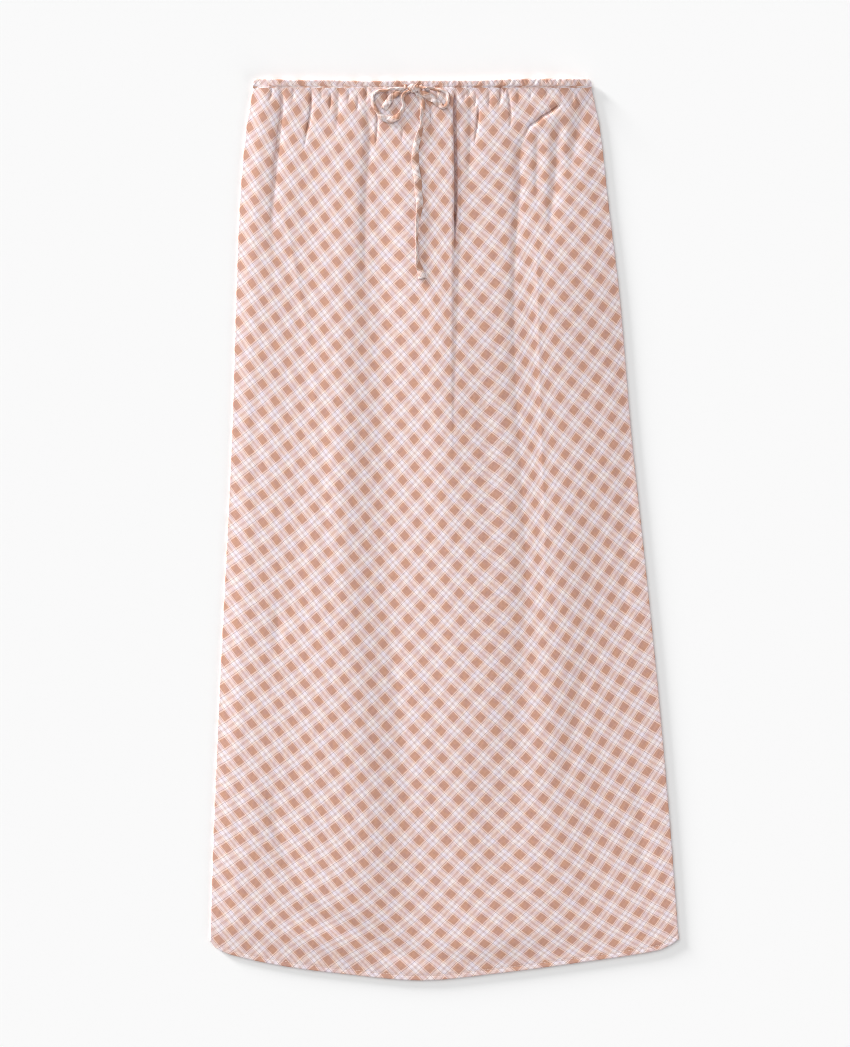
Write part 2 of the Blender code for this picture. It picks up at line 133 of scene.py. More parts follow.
class Lamp(NamedTuple):
    """A wide soft light: where it stands and how wide it looks, in degrees, and how much light it sheds."""

    name: str
    azimuth: float
    elevation: float
    width: float
    strength: float


class Side(Enum):
    """Which of the skirt's two panels."""

    FRONT = "front"
    BACK = "back"


def table(kind: type, *rows: Sequence[object]) -> tuple:
    """Makes a table of plain rows, whose columns then have the names that their kind gives them."""
    return tuple(kind(*row) for row in rows)


# Where the long folds run across the skirt
ACROSS = table(
    Guide,
    (10, -202.6, -190, -158, -92, -76, -36, 8.4, 13.4, 42, 82, 101, 139, 155.5),
    (54, -210, -192, -150, -90, -74, -36, 8.4, 13.4, 60, 84, 104, 142, 164.5),
    (128, -216.4, -197, -146, -93, -74, -38, 8.4, 13.6, 62, 86, 104, 148, 173),
    (234, -220.6, -201, -150, -100, -76, -36, 6.6, 14.6, 60, 84, 110, 165, 185.7),
    (371, -224.8, -204, -150, -103, -67, -35, 4, 20, 56, 90, 108, 172, 197.3),
    (509, -231.2, -208, -160, -106, -65, -25, 10, 30, 64, 92, 114, 166, 212),
    (657, -238.6, -214, -165, -95, -55, -15, 20, 42, 62, 84, 106, 165, 227),
    (795, -244.4, -214, -165, -88, -38, -5, 24, 40, 52, 70, 104, 165, 239),
    (916, -248.1, -216, -160, -106, -28, 5, 30, 44, 56, 64, 84, 170, 248.1),
)

# How high the front's outer side lies above the floor along the same folds
HEIGHT = table(
    Guide,
    (10, 3, 5.2, 5.8, 6.2, 6.2, 6.3, 6.5, 6.2, 6.2, 6, 6, 5.2, 3),
    (54, 2.5, 4.6, 5.3, 7.4, 6.9, 7.6, 8, 6.3, 6.3, 5.5, 5.4, 4.2, 2.5),
    (128, 2.4, 4.6, 5.5, 8, 7.1, 8.9, 9.4, 7.4, 6.4, 5.3, 5.2, 3.9, 2.4),
    (234, 2.4, 4.4, 5.9, 8.3, 7.5, 10, 11.6, 10.6, 9.4, 7.7, 7.6, 4.2, 2.4),
    (371, 2.4, 4.3, 6.2, 9, 7.8, 9.3, 11.2, 10.6, 9.5, 7.6, 7.4, 4.3, 2.5),
    (509, 2.4, 4.6, 6, 8.9, 7.5, 9, 10.4, 10.5, 9.9, 8.2, 8.3, 4.8, 2.5),
    (657, 2.4, 4.8, 6, 8.7, 7.1, 8.2, 9.2, 9.2, 8.7, 7.8, 8.2, 5.1, 2.5),
    (795, 2.4, 4.7, 5, 7, 5.3, 5.8, 6.2, 6, 5.8, 5.7, 6, 4, 2.5),
    (916, 2.4, 3.6, 4.4, 5.2, 3.4, 4, 4.6, 4.8, 4.8, 4.7, 4.3, 2.7, 2.4),
)
FOLDS = Guide._fields[1:]

# How far down the hem is, from its left corner (0) to its right one (1)
HEM = table(
    Point,
    (0, 910.5), (0.012, 918.5), (0.045, 926), (0.15, 937.5), (0.28, 946), (0.45, 953.2), (0.6, 946.5),
    (0.8, 933.5), (0.955, 921.5), (0.985, 914.5), (1, 909.5),
)

# The creases of the front, as the elastic and the way it was laid down leave them
FRONT_CREASES = table(
    Crease,
    (2, 0.9, 1.6, ((-183, 8), (-183.5, 16), (-185.5, 25))),
    (2, 0.9, 3.2, ((-175.5, 6), (-173, 20), (-174, 40), (-176.5, 54), (-178, 72), (-180.5, 90), (-181, 108),
        (-182.5, 126), (-184, 168)), 12, 0.7),
    (1.3, 5, 9, ((-174, 16), (-175, 60), (-179, 110), (-181, 150), (-178, 240)), 40, 0.7),
    (2.4, 0.9, 1.8, ((-141.5, 10), (-142, 30), (-144, 46), (-146.5, 58), (-148.5, 78))),
    (1.6, 0.9, 1.3, ((-120.5, 15), (-121, 35)), 5),
    (0.9, 2.5, 3.5, ((-112, 8), (-113, 38), (-114.5, 64))),
    (1, 1, 2, ((-92, 16), (-92.5, 38))),
    (1.7, 1.4, 2, ((-83, 6), (-83, 27))),
    (1.7, 0.9, 1.8, ((-71.5, 34), (-72.5, 74))),
    (1.4, 3.4, 5, ((-83, 24), (-80, 60), (-82, 92), (-84, 120), (-84, 180), (-84, 260)), 30, 0.8),
    (1.2, 1, 2, ((-44.5, 42), (-45, 68))),
    (0.8, 2, 2, ((-19, 6), (-18, 40))),
    (9.4, 1, 1.7, ((10.4, 12), (10.2, 40), (10.6, 62), (11.4, 90), (11.4, 125), (10.8, 150),
        (10.4, 184)), 14, 0.3),
    (3, 1.1, 3, ((10.8, 18), (10.8, 60), (11.2, 100), (11.2, 160), (10.6, 190)), 10, 0.3),
    (1.5, 1.2, 4, ((11, 150), (10.6, 190), (10.4, 240), (9.6, 330), (9.4, 430)), 30, 0.9),
    (4.2, 1.8, 2.2, ((-26.2, 9), (-25, 19)), 1.5, 0.25),
    (3.4, 1.2, 1.6, ((-17.6, 12), (-16.4, 21)), 2, 0.25),
    (3.2, 1.3, 1.6, ((-31, 9), (-30.4, 15)), 1.5, 0.25),
    (2.4, 1.2, 1.8, ((-15.4, 28), (-14.6, 38), (-14.8, 52)), 4, 0.5),
    (2, 1.6, 2.2, ((24, 12), (26, 20)), 3, 0.4),
    (3.6, 2, 2.2, ((-41, 9), (-39.4, 15)), 1.5, 0.25),
    (0.9, 1.2, 2.2, ((-160, 10), (-161, 26))),
    (0.8, 1.2, 2, ((-131, 10), (-130, 24))),
    (0.9, 1.2, 2.2, ((-101, 10), (-102, 28))),
    (0.9, 1, 2, ((-60, 10), (-61, 30))),
    (1, 1, 2, ((-9, 10), (-8, 30))),
    (1, 1, 2.2, ((20, 10), (21, 26))),
    (1.1, 1, 2, ((46, 10), (47, 34))),
    (1, 1, 2.2, ((77, 10), (78, 26))),
    (1, 1, 2, ((91, 10), (90, 24))),
    (0.9, 1, 2.2, ((108, 10), (107, 22))),
    (1, 1, 2, ((122, 10), (124, 22))),
    (1, 0.9, 1.4, ((32.5, 16), (32, 33)), 4),
    (2.1, 0.9, 1.6, ((35.8, 29), (34.5, 46), (33, 58), (31.5, 72))),
    (2.5, 0.9, 1.6, ((59, 6), (58.6, 16), (57.5, 31)), 4),
    (1.5, 0.9, 1.5, ((63.5, 6), (63, 18)), 4),
    (2.1, 0.9, 1.6, ((66, 10), (68, 26), (69.5, 40), (68.5, 56))),
    (3.2, 1.3, 1.7, ((123, 26), (112, 34.5), (103, 40), (97, 45), (90, 50), (86, 58), (82, 67)), 5, 0.6),
    (1.8, 2.4, 5, ((84, 58), (78, 76), (76.5, 92), (78, 106), (77, 122), (75, 152), (73, 200),
        (73, 300)), 20, 0.8),
    (0.4, 4, 4, ((73, 200), (74, 300), (80, 400), (86, 540), (78, 700)), 60, 0.8),
    (2.1, 0.9, 1.4, ((138, 14), (142, 26), (147.5, 36)), 4),
    (2, 5, 11, ((146, 18), (138, 60), (132, 110)), 14),
    (1.9, 3.5, 8, ((122, 40), (117, 66), (116, 92), (113, 130), (110, 180)), 14),
    (1.1, 3, 7, ((28, 16), (27, 60), (25, 130)), 14),
    (1, 3, 7, ((98, 54), (97, 90), (98, 140)), 14),
    (0.8, 3, 2, ((134, 8), (137, 34)), 4),
    (0.9, 7, 7, ((-176, 552), (-176, 618)), 20),
    (1.1, 10, 12, ((-184, 730), (-177, 790), (-164, 832), (-138, 866), (-110, 888)), 60, 0.4),
    (2.4, 14, 14, ((-150, 858), (-124, 884), (-96, 902), (-60, 924), (-20, 944)), 40, 0.2),
    (-0.35, 3, 4, ((-176, 112), (-166, 160), (-152, 230), (-141, 300), (-137, 336), (-137, 460)), 60, 0.7),
    (-0.35, 3, 3.6, ((97, 150), (99, 260), (103, 400), (106, 500), (100, 620), (90, 720)), 60, 0.7),
    (0.6, 12, 8, ((150, 600), (136, 700), (118, 800)), 40),
    (0.5, 10, 10, ((-196, 300), (-200, 400), (-188, 520)), 60),
    (0.5, 12, 8, ((190, 380), (196, 500), (178, 640)), 60),
    (0.5, 9, 9, ((-130, 330), (-126, 480), (-112, 640)), 60),
    (0.5, 12, 12, ((40, 300), (48, 430), (46, 560)), 60),
    (0.6, 9, 9, ((-60, 560), (-46, 680), (-30, 800)), 60),
    (0.6, 9, 9, ((205, 720), (214, 900)), 50),
    (0.6, 8, 10, ((-214, 690), (-222, 860)), 50),
)

# The creases of the back, which rise from the surface that it lies on
BACK_CREASES = table(
    Crease,
    (0.9, 3, 6, ((-170, 4), (-172, 70), (-180, 150))),
    (0.7, 2.5, 4, ((-128, 4), (-124, 70))),
    (0.9, 3, 7, ((-96, 4), (-104, 110), (-100, 220))),
    (0.7, 3, 4, ((-44, 4), (-42, 90))),
    (1, 4, 8, ((-12, 4), (-12, 150), (-20, 310))),
    (0.8, 2.5, 4, ((38, 4), (36, 60))),
    (0.9, 3, 7, ((62, 4), (64, 100), (72, 190))),
    (0.8, 3, 4, ((104, 4), (110, 90))),
    (0.8, 4, 3, ((134, 4), (146, 120))),
    (0.7, 10, 14, ((-150, 240), (-152, 420), (-166, 620)), 60),
    (0.7, 12, 12, ((-40, 380), (-36, 560), (-18, 760)), 60),
    (0.8, 12, 12, ((90, 280), (108, 460), (118, 640)), 60),
    (0.6, 12, 10, ((176, 560), (178, 700), (188, 820)), 60),
    (0.6, 12, 10, ((-90, 700), (-100, 800), (-120, 910)), 40),
    (0.6, 10, 14, ((40, 720), (54, 820), (60, 910)), 40),
)

# Where folds and pulls have shifted the check
DRIFTS = table(
    Drift,
    (-200, 20, 60, 45, -0.6, 0.1), (-110, 10, 60, 60, -0.25, 0.25), (20, 85, 26, 110, 0.27, 0.05),
    (56, 50, 40, 80, 0.45, -0.25), (-28, 210, 26, 110, -0.4, 0), (-235, 390, 40, 190, 0.25, -0.25),
    (-160, 290, 70, 140, 0.15, 0.05), (76, 400, 30, 230, -0.6, 0), (110, 230, 34, 160, 0.25, 0.5),
    (150, 60, 40, 60, 0.3, -0.55), (150, 420, 40, 160, -0.15, 0.12), (185, 560, 50, 140, 0.35, 0.25),
    (-240, 930, 50, 80, -0.5, -0.25), (-165, 850, 60, 50, 0, 0.3), (-150, 925, 60, 40, 0, 0.8),
    (-80, 830, 60, 60, 0.15, -0.35), (-90, 940, 50, 36, 0, 0.3), (40, 830, 60, 60, 0.2, 0),
    (-235, 690, 30, 90, 0, -0.25), (110, 720, 40, 90, -0.1, -0.25), (122, 850, 70, 80, -0.25, -0.4),
    (70, 890, 60, 50, 0.05, 0.35), (80, 945, 160, 30, 0, 0.55), (205, 930, 60, 40, 0.1, 0.2),
)

# How high a casing's gathers stand, and how far its upper edge dips, from its left end (0) to its right (1)
RUCHES = table(Point, (0, 0.2), (0.3, 0.2), (0.5, 0.4), (0.65, 0.65), (0.95, 0.75), (1, 0.3))
WAIST_SAG = table(
    Point,
    (0, 0), (0.06, 0.2), (0.1, 1.1), (0.22, 1.3), (0.28, 2.1), (0.34, 2.4), (0.5, 1.9), (0.66, 1.9),
    (0.71, 1.2), (0.76, 0.2), (1, 0.1),
)

# A casing's outer side, from its top edge down over the elastic to its lower edge, where 1 is full
CASING_SECTION = table(
    Point,
    (0, 0.5), (0.4, 0.82), (1, 0.98), (2, 1), (3.6, 0.99), (5.4, 0.96), (7.6, 0.92), (10, 0.9),
)

# The tie's route, round each loop and down each tail
LEFT_LOOP = table(
    Strand,
    (-41.2, 10, 1, 10, 0.4), (-48.5, 11, 0.8, 15, 0.45), (-55.5, 11.4, 0.6, -10, 0.36),
    (-62.5, 12.8, 0.5, 14, 0.42), (-69.5, 13.2, 0.4, 26, 0.38), (-75, 16.6, 0.3, 10, 0.44),
    (-76.4, 22.6, 0.2, 22, 0.5), (-74.6, 29.4, 0.2, 6, 0.56), (-71.2, 35.6, 0.1, 24, 0.5),
    (-66.4, 40.6, 0.1, -14, 0.8), (-60.2, 43.6, 0.1, 6, 0.92), (-53.8, 43.2, 0.1, -16, 0.84),
    (-48.2, 39.8, 0.1, 8, 0.74), (-44.4, 34.4, 0.1, 26, 0.6), (-42.8, 28, 0.3, 12, 0.5),
    (-44.4, 21.4, 0.8, 30, 0.44), (-42.6, 16.2, 1.4, 10, 0.4),
)
RIGHT_LOOP = table(
    Strand,
    (-25, 15.2, 1.7, 186, 0.58), (-20.6, 17.2, 1, 166, 0.85), (-15.4, 20.2, 0.5, 184, 1),
    (-10.6, 23.4, 0.2, 164, 0.86), (-5.8, 27.6, 0.2, 180, 0.8), (-1.4, 30.4, 0.2, 158, 0.62),
    (2.2, 27.8, 0.1, 176, 0.5), (3.6, 22.2, 0.1, 150, 0.46), (2, 15.8, 0.1, 168, 0.5),
    (-3.4, 12.4, 0.2, 196, 0.4), (-11.6, 11.8, 0.5, 168, 0.44), (-18.6, 10.2, 0.8, 90, 0.5),
    (-24.4, 9.6, 1, 25, 0.5),
)
SHORT_TAIL = table(
    Strand,
    (-41.2, 12.8, 0.2, 10, 0.4), (-46.6, 13.8, 0, -12, 0.7), (-51.6, 16.2, 0, 16, 0.9),
    (-56.2, 20.8, 0, -14, 0.8), (-60, 25.8, 0, 14, 0.9), (-64, 32.6, 0, -10, 0.85),
)
LONG_TAIL = table(
    Strand,
    (-29.4, 15.6, 0.3, 0, 0.5), (-25.2, 21, 0, -6, 0.8), (-23.4, 26, 0, 18, 0.62), (-22.8, 32, 0, -28, 0.6),
    (-24, 41, 0, -40, 0.52), (-23.8, 50, 0, -34, 0.56), (-27.4, 62, 0, -14, 0.85), (-30.4, 73, 0, 10, 0.8),
    (-30.8, 84, 0, -12, 0.98), (-30.2, 97, 0, 8, 0.94), (-27.8, 109, 0, -14, 1), (-27.6, 121, 0, 6, 0.92),
    (-25.9, 132, 0, -14, 0.96), (-27, 143, 0, -26, 0.8), (-28.6, 154, 0, -40, 0.55), (-29, 170, 0, -46, 0.42),
    (-28.8, 185, 0, -40, 0.44), (-27.6, 197, 0, -22, 0.75), (-25, 205, 0, 6, 0.95), (-23.4, 212, 0, -6, 1),
)

# The stretches that the knot hides: from each buttonhole to its loop, and from each loop to its tail
HOLE_TO_LEFT_LOOP = table(Strand, (-41.6, 7, 0.2, 10, 0.4))
LEFT_LOOP_TO_TAIL = table(Strand, (-35.6, 13, 1.4, -12, 0.45), (-32.4, 13.6, 0.6, -4, 0.45))
HOLE_TO_RIGHT_LOOP = table(
    Strand,
    (-23.5, 7.6, 0.2, 178, 0.4), (-26.4, 10.2, 1.6, 180, 0.42), (-27, 12.8, 1.9, 184, 0.48),
)
RIGHT_LOOP_TO_TAIL = table(Strand, (-29.6, 10.6, 1.2, 15, 0.45), (-35.2, 11.6, 0.4, 10, 0.4))

# How far apart the rows of each panel lie, at distances down
FRONT_ROWS = table(
    Point, (10, 1.9), (60, 2.2), (130, 4), (260, 7), (860, 7), (925, 2.6), (940, 1.1), (954, 0.9)
)
BACK_ROWS = table(Point, (10, 3), (60, 4), (150, 9), (860, 12), (925, 4), (940, 1.5), (954, 1.2))

# The section of the tie's band, from edge to edge over its top and back under it
BAND_SECTION = (
    (1, 0), (0.94, 0.8), (0.8, 1), (0.4, 0.86), (0, 0.8), (-0.4, 0.86), (-0.8, 1), (-0.94, 0.8),
    (-1, 0), (-0.94, -0.8), (-0.8, -1), (-0.4, -0.86), (0, -0.8), (0.4, -0.86), (0.8, -1), (0.94, -0.8),
)


def smooth_between(start: Grid, rise: Grid, leave: Grid, arrive: Grid, t: Grid) -> Grid:
    """A smooth curve a share t of the way along, from its start, its rise and the slopes at both ends."""
    bend = (leave + arrive - 2 * rise) * t + (3 * rise - 2 * leave - arrive)
    return start + (leave + bend * t) * t


def follow(starts: Sequence[float], values: Sequence[float], at: Grid) -> Grid:
    """Reads a smooth curve through points.

    Args:
        starts: Where the points are, in rising order.
        values: Their values.
        at: Where to read.

    Returns:
        The curve's values, in the shape of at.
    """
    starts, values = np.array(starts, float), np.array(values, float)
    each = np.arange(len(starts))
    before, after = np.maximum(each - 1, 0), np.minimum(each + 1, len(starts) - 1)
    slopes = (values[after] - values[before]) / (starts[after] - starts[before])
    at = np.clip(at, starts[0], starts[-1])
    low = np.clip(np.searchsorted(starts, at, side="right") - 1, 0, len(starts) - 2)
    span = starts[low + 1] - starts[low]
    rise = values[low + 1] - values[low]
    t = (at - starts[low]) / span
    return smooth_between(values[low], rise, slopes[low] * span, slopes[low + 1] * span, t)


def read(rows: Sequence[NamedTuple], at: Grid, column: str = "value") -> Grid:
    """Reads a table's column along its first one."""
    return follow([row[0] for row in rows], [getattr(row, column) for row in rows], at)


def ride_over(places: Sequence[Grid], heights: Sequence[Grid], x: Grid) -> Grid:
    """Reads heights from a smooth curve that never rises above or falls below its neighbouring guides.

    Args:
        places: Where each guide lies, from left to right.
        heights: How high each guide is.
        x: Where to read.

    Returns:
        The heights, in the shape of x.
    """
    spans = [after - before for before, after in zip(places, places[1:])]
    rises = [(after - before) / span for before, after, span in zip(heights, heights[1:], spans)]
    slopes = [rises[0]]
    for before, after in zip(rises, rises[1:]):
        product = before * after
        total = np.where(np.abs(before + after) < 1e-9, 1.0, before + after)
        slopes.append(np.where(product > 0, 2 * product / total, 0.0))
    slopes.append(rises[-1])
    result = np.broadcast_to(heights[0], np.shape(x)).astype(float)
    for index, span in enumerate(spans):
        t = np.clip((x - places[index]) / span, 0.0, 1.0)
        rise = heights[index + 1] - heights[index]
        here = smooth_between(heights[index], rise, slopes[index] * span, slopes[index + 1] * span, t)
        result = np.where(x >= places[index], here, result)
    return result


def mix(a: Grid, b: Grid, t: Grid) -> Grid:
    """A value between a and b."""
    return a + (b - a) * t


def ease(t: Grid) -> Grid:
    """A smooth step from 0 to 1."""
    t = np.clip(t, 0.0, 1.0)
    return t * t * (3 - 2 * t)


def dent(away: Grid) -> Grid:
    """A round dent, 1 in its middle and fading out where away passes 1."""
    return np.exp(-(away**2))


def direction(round_z: float, up: float) -> Vector:
    """The direction at an angle round Z and an angle above the floor."""
    return Vector((math.cos(round_z) * math.cos(up), math.sin(round_z) * math.cos(up), math.sin(up)))


def linear(code: str) -> tuple[float, float, float, float]:
    """Turns an sRGB hex colour to linear light.

    Args:
        code: The colour, such as "#CB9E8B".

    Returns:
        Its red, green, blue and alpha.
    """
    shades = [int(code[k : k + 2], 16) / 255 for k in (1, 3, 5)]
    red, green, blue = (s / 12.92 if s <= 0.04045 else ((s + 0.055) / 1.055) ** 2.4 for s in shades)
    return red, green, blue, 1.0


@dataclass(frozen=True)
class Drape:
    """The form that the skirt's cloth lies in: its outline, long folds, creases, hem and grain.

    The outline's sizes are those of the solids. The grain is given as half the diagonal of the check's repeat
    across and down, by how far its rows bow and its columns lean, and by small bends in half squares.
    """

    length: float = 953.2
    half_width: float = 248.0
    hem_height: float = 2.3
    hem_depth: float = 5.0
    hem_settles: float = 40.0
    dimple_depth: float = 0.25
    dimple_width: float = 0.9
    casing_height: float = 10.0
    casing_thickness: float = 3.0
    seam_gap: float = 0.3
    panel_gap: float = 0.1
    lowest: float = 1.5
    fold_rise: float = 1.08
    side_fade: float = 7.0
    half_across: float = 13.47
    half_down: float = 14.66
    waist_gathering: float = 0.12
    smile: float = 48.0
    lean: float = 23.0
    lean_bend: float = 0.28
    row_bend: float = 0.5
    row_slant: float = 0.28
    row_twist: float = 0.49
    check_starts: tuple[float, float] = (1.14, -4.6)
    repeat: float = 20.3

    @property
    def panel_top(self) -> float:
        """How far down a panel begins."""
        return self.casing_height + self.panel_gap

    @property
    def waist(self) -> tuple[float, float]:
        """Where the waist's left and right ends lie."""
        left, right = self.sides(0.0)
        return float(left), float(right)

    def waist_share(self, x: Grid) -> Grid:
        """How far along the waist a place is, from its left end (0) to its right (1)."""
        left, right = self.waist
        return (x - left) / (right - left)

    def waist_end(self, x: Grid) -> Grid:
        """How far a place of the waist is from the nearer end."""
        left, right = self.waist
        return np.minimum(x - left, right - x)

    def fold_line(self, fold: str, down: Grid) -> Grid:
        """Where a long fold, or a side of the skirt, lies across it."""
        return read(ACROSS, down, fold)

    def sides(self, down: Grid) -> tuple[Grid, Grid]:
        """Where the skirt's left and right sides lie."""
        return self.fold_line("left", down), self.fold_line("right", down)

    def side_heights(self, down: Grid) -> tuple[Grid, Grid]:
        """How high the front is at the left and right ends of its flat."""
        return read(HEIGHT, down, "left"), read(HEIGHT, down, "right")

    def flat_ends(self, down: Grid) -> tuple[Grid, Grid]:
        """Where the flat of a panel ends, left and right, and its turns at the sides begin."""
        (left, right), heights = self.sides(down), self.side_heights(down)
        return left + self.turn_radius(heights[0]), right - self.turn_radius(heights[1])

    def turn_radius(self, height: Grid) -> Grid:
        """The radius of each panel's turn at a side, for the height of the front there."""
        return (height - self.seam_gap) / 2

    def folds_height(self, x: Grid, down: Grid) -> Grid:
        """Reads the height that the long folds give the front's outer side.

        Args:
            x: Places across the skirt.
            down: Places below the waist edge.

        Returns:
            The heights above the floor.
        """
        places = [self.fold_line(fold, down) for fold in FOLDS]
        heights = [read(HEIGHT, down, fold) * self.fold_rise for fold in FOLDS]
        places[0], places[-1] = self.flat_ends(down)
        heights[0], heights[-1] = self.side_heights(down)
        return ride_over(places, heights, x)

    def inside(self, x: Grid, down: Grid) -> Grid:
        """0 at the ends of the flat, where creases fade out, and 1 from a little further in."""
        left, right = self.flat_ends(down)
        return ease(np.minimum(x - left, right - x) / self.side_fade)

    def hem_edge(self, x: Grid, down: Grid) -> Grid:
        """How far down the hem is, straight below each place."""
        left, right = self.sides(down)
        return read(HEM, (x - left) / (right - left))

    def settled(self, x: Grid, down: Grid) -> Grid:
        """0 at the hem, where the cloth lies flat, and 1 where its folds are free."""
        return ease((self.hem_edge(x, down) - down) / self.hem_settles)

    def crease_line(self, crease: Crease, down: Grid) -> Grid:
        """Where a crease lies across the skirt."""
        return follow([at for _, at in crease.path], [x for x, _ in crease.path], down)

    def crease_strength(self, crease: Crease, down: Grid) -> Grid:
        """How much of its depth a crease has, from 0 to 1."""
        top, foot = crease.path[0][1], crease.path[-1][1]
        return ease((down - top) / crease.comes_in) * ease((foot - down) / (foot - top) / crease.goes_out)

    def relief(self, x: Grid, down: Grid, creases: Sequence[Crease]) -> Grid:
        """Adds up how much lower the creases take the cloth.

        Args:
            x: Places across the skirt.
            down: Places below the waist edge.
            creases: The creases to add up.

        Returns:
            The depth at each place, in millimetres.
        """
        total = np.zeros(np.broadcast(x, down).shape)
        for crease in creases:
            line = self.crease_line(crease, down)
            slant = self.crease_line(crease, down + 0.5) - self.crease_line(crease, down - 0.5)
            aside = (x - line) / np.hypot(1.0, slant)
            reach = np.where(aside < 0, crease.left, crease.right)
            total += crease.depth * self.crease_strength(crease, down) * np.exp(-np.abs(aside / reach) ** 1.5)
        return total

    def front_top(self, x: Grid, down: Grid) -> Grid:
        """Reads the height of the front's outer side.

        Args:
            x: Places across the skirt.
            down: Places below the waist edge.

        Returns:
            The heights above the floor.
        """
        height = self.folds_height(x, down) - self.relief(x, down, FRONT_CREASES) * self.inside(x, down)
        height = mix(self.hem_height, np.maximum(height, self.lowest), self.settled(x, down))
        # The hem's stitching presses a shallow line into the cloth
        from_line = self.hem_edge(x, down) - down - self.hem_depth
        return height - self.dimple_depth * dent(from_line / self.dimple_width)

    def back_underside(self, x: Grid, down: Grid) -> Grid:
        """The height of the back's outer side above the floor."""
        raised = np.maximum(self.relief(x, down, BACK_CREASES), 0.0)
        return raised * self.settled(x, down) * self.inside(x, down)

    def outer_side(self, side: Side, x: Grid, down: Grid) -> Grid:
        """The height of a panel's outer side above the floor."""
        return self.front_top(x, down) if side is Side.FRONT else self.back_underside(x, down)

    def points(self, x: Grid, down: Grid, z: Grid) -> Grid:
        """The points at places across, down and up, one a row."""
        return np.stack([x, self.length / 2 - down, z], axis=-1).reshape(-1, 3)

    def grain(self, x: Grid, down: Grid) -> tuple[Grid, Grid]:
        """Finds where a place of the cloth lies in the check, along its two threads.

        Args:
            x: Places across the skirt.
            down: Places below the waist edge.

        Returns:
            The places along the warp and the weft, in millimetres, with a brown square at every whole repeat.
        """
        middle = self.length / 2
        y = (down - middle) / middle
        side = x / self.half_width
        start_across, start_along = self.check_starts
        across = (1 - self.waist_gathering * y) * x / self.half_across
        across += start_across - (self.lean / self.half_across) * y * (1 + self.lean_bend * y)
        along = (down - middle) / self.half_down + self.smile / self.half_down * side**2
        along += start_along + self.row_bend * y * y - self.row_slant * side - self.row_twist * side * y
        for drift in DRIFTS:
            far = ((x - drift.x) / drift.reach_x) ** 2 + ((down - drift.down) / drift.reach_down) ** 2
            across += drift.across * np.exp(-far)
            along += drift.along * np.exp(-far)
        return (across + along) / 2 * self.repeat, (along - across) / 2 * self.repeat


def add_node(
    tree: Tree, kind: str, inputs: dict[str | int, object] | None = None, **settings: object
) -> bpy.types.Node:
    """Adds a shader node with its settings and inputs.

    Args:
        tree: The material's node tree.
        kind: The node's type, without the leading "ShaderNode".
        inputs: For each of its inputs, by name or index, a value or the socket that feeds it.
        settings: The node's own settings.

    Returns:
        The new node.
    """
    made = tree.nodes.new("ShaderNode" + kind)
    for name, value in settings.items():
        setattr(made, name, value)
    for name, value in (inputs or {}).items():
        if isinstance(value, Socket):
            tree.links.new(value, made.inputs[name])
        else:
            made.inputs[name].default_value = value
    return made


def combine(tree: Tree, operation: str, first: object, second: object, kind: str = "Math") -> Socket:
    """Adds a node that works out one value from two.

    Args:
        tree: The material's node tree.
        operation: What the node does.
        first: Its first value or socket.
        second: Its second one.
        kind: Math for numbers, or VectorMath for vectors and colours.

    Returns:
        The socket of the result.
    """
    other = "Scale" if operation == "SCALE" else 1
    return add_node(tree, kind, {0: first, other: second}, operation=operation).outputs[0]


def add_noise(tree: Tree, place: Socket, scale: float, detail: float) -> bpy.types.Node:
    """Adds a cloudy pattern over a place's socket."""
    return add_node(tree, "TexNoise", {"Vector": place, "Scale": scale, "Detail": detail})


def add_ramp(tree: Tree, share: Socket, stops: Sequence[tuple[float, Sequence[float]]]) -> bpy.types.Node:
    """Adds a colour ramp.

    Args:
        tree: The material's node tree.
        share: The socket that says where on the ramp a place is.
        stops: Each stop's place from 0 to 1, and its colour.

    Returns:
        The ramp's node.
    """
    made = add_node(tree, "ValToRGB", {0: share})
    elements = made.color_ramp.elements
    while len(elements) < len(stops):
        elements.new(1.0)
    for element, (place, colour) in zip(elements, stops):
        element.position = place
        element.color = colour
    return made


def start_material(name: str, finish: dict[str, object]) -> tuple[Material, bpy.types.Node]:
    """Starts a material with an even finish.

    Args:
        name: The material's name.
        finish: Values of the shader's inputs, by name.

    Returns:
        The material and its shader.
    """
    made = bpy.data.materials.new(name)
    made.use_nodes = True
    shader = made.node_tree.nodes["Principled BSDF"]
    for socket, value in finish.items():
        shader.inputs[socket].default_value = value
    return made, shader


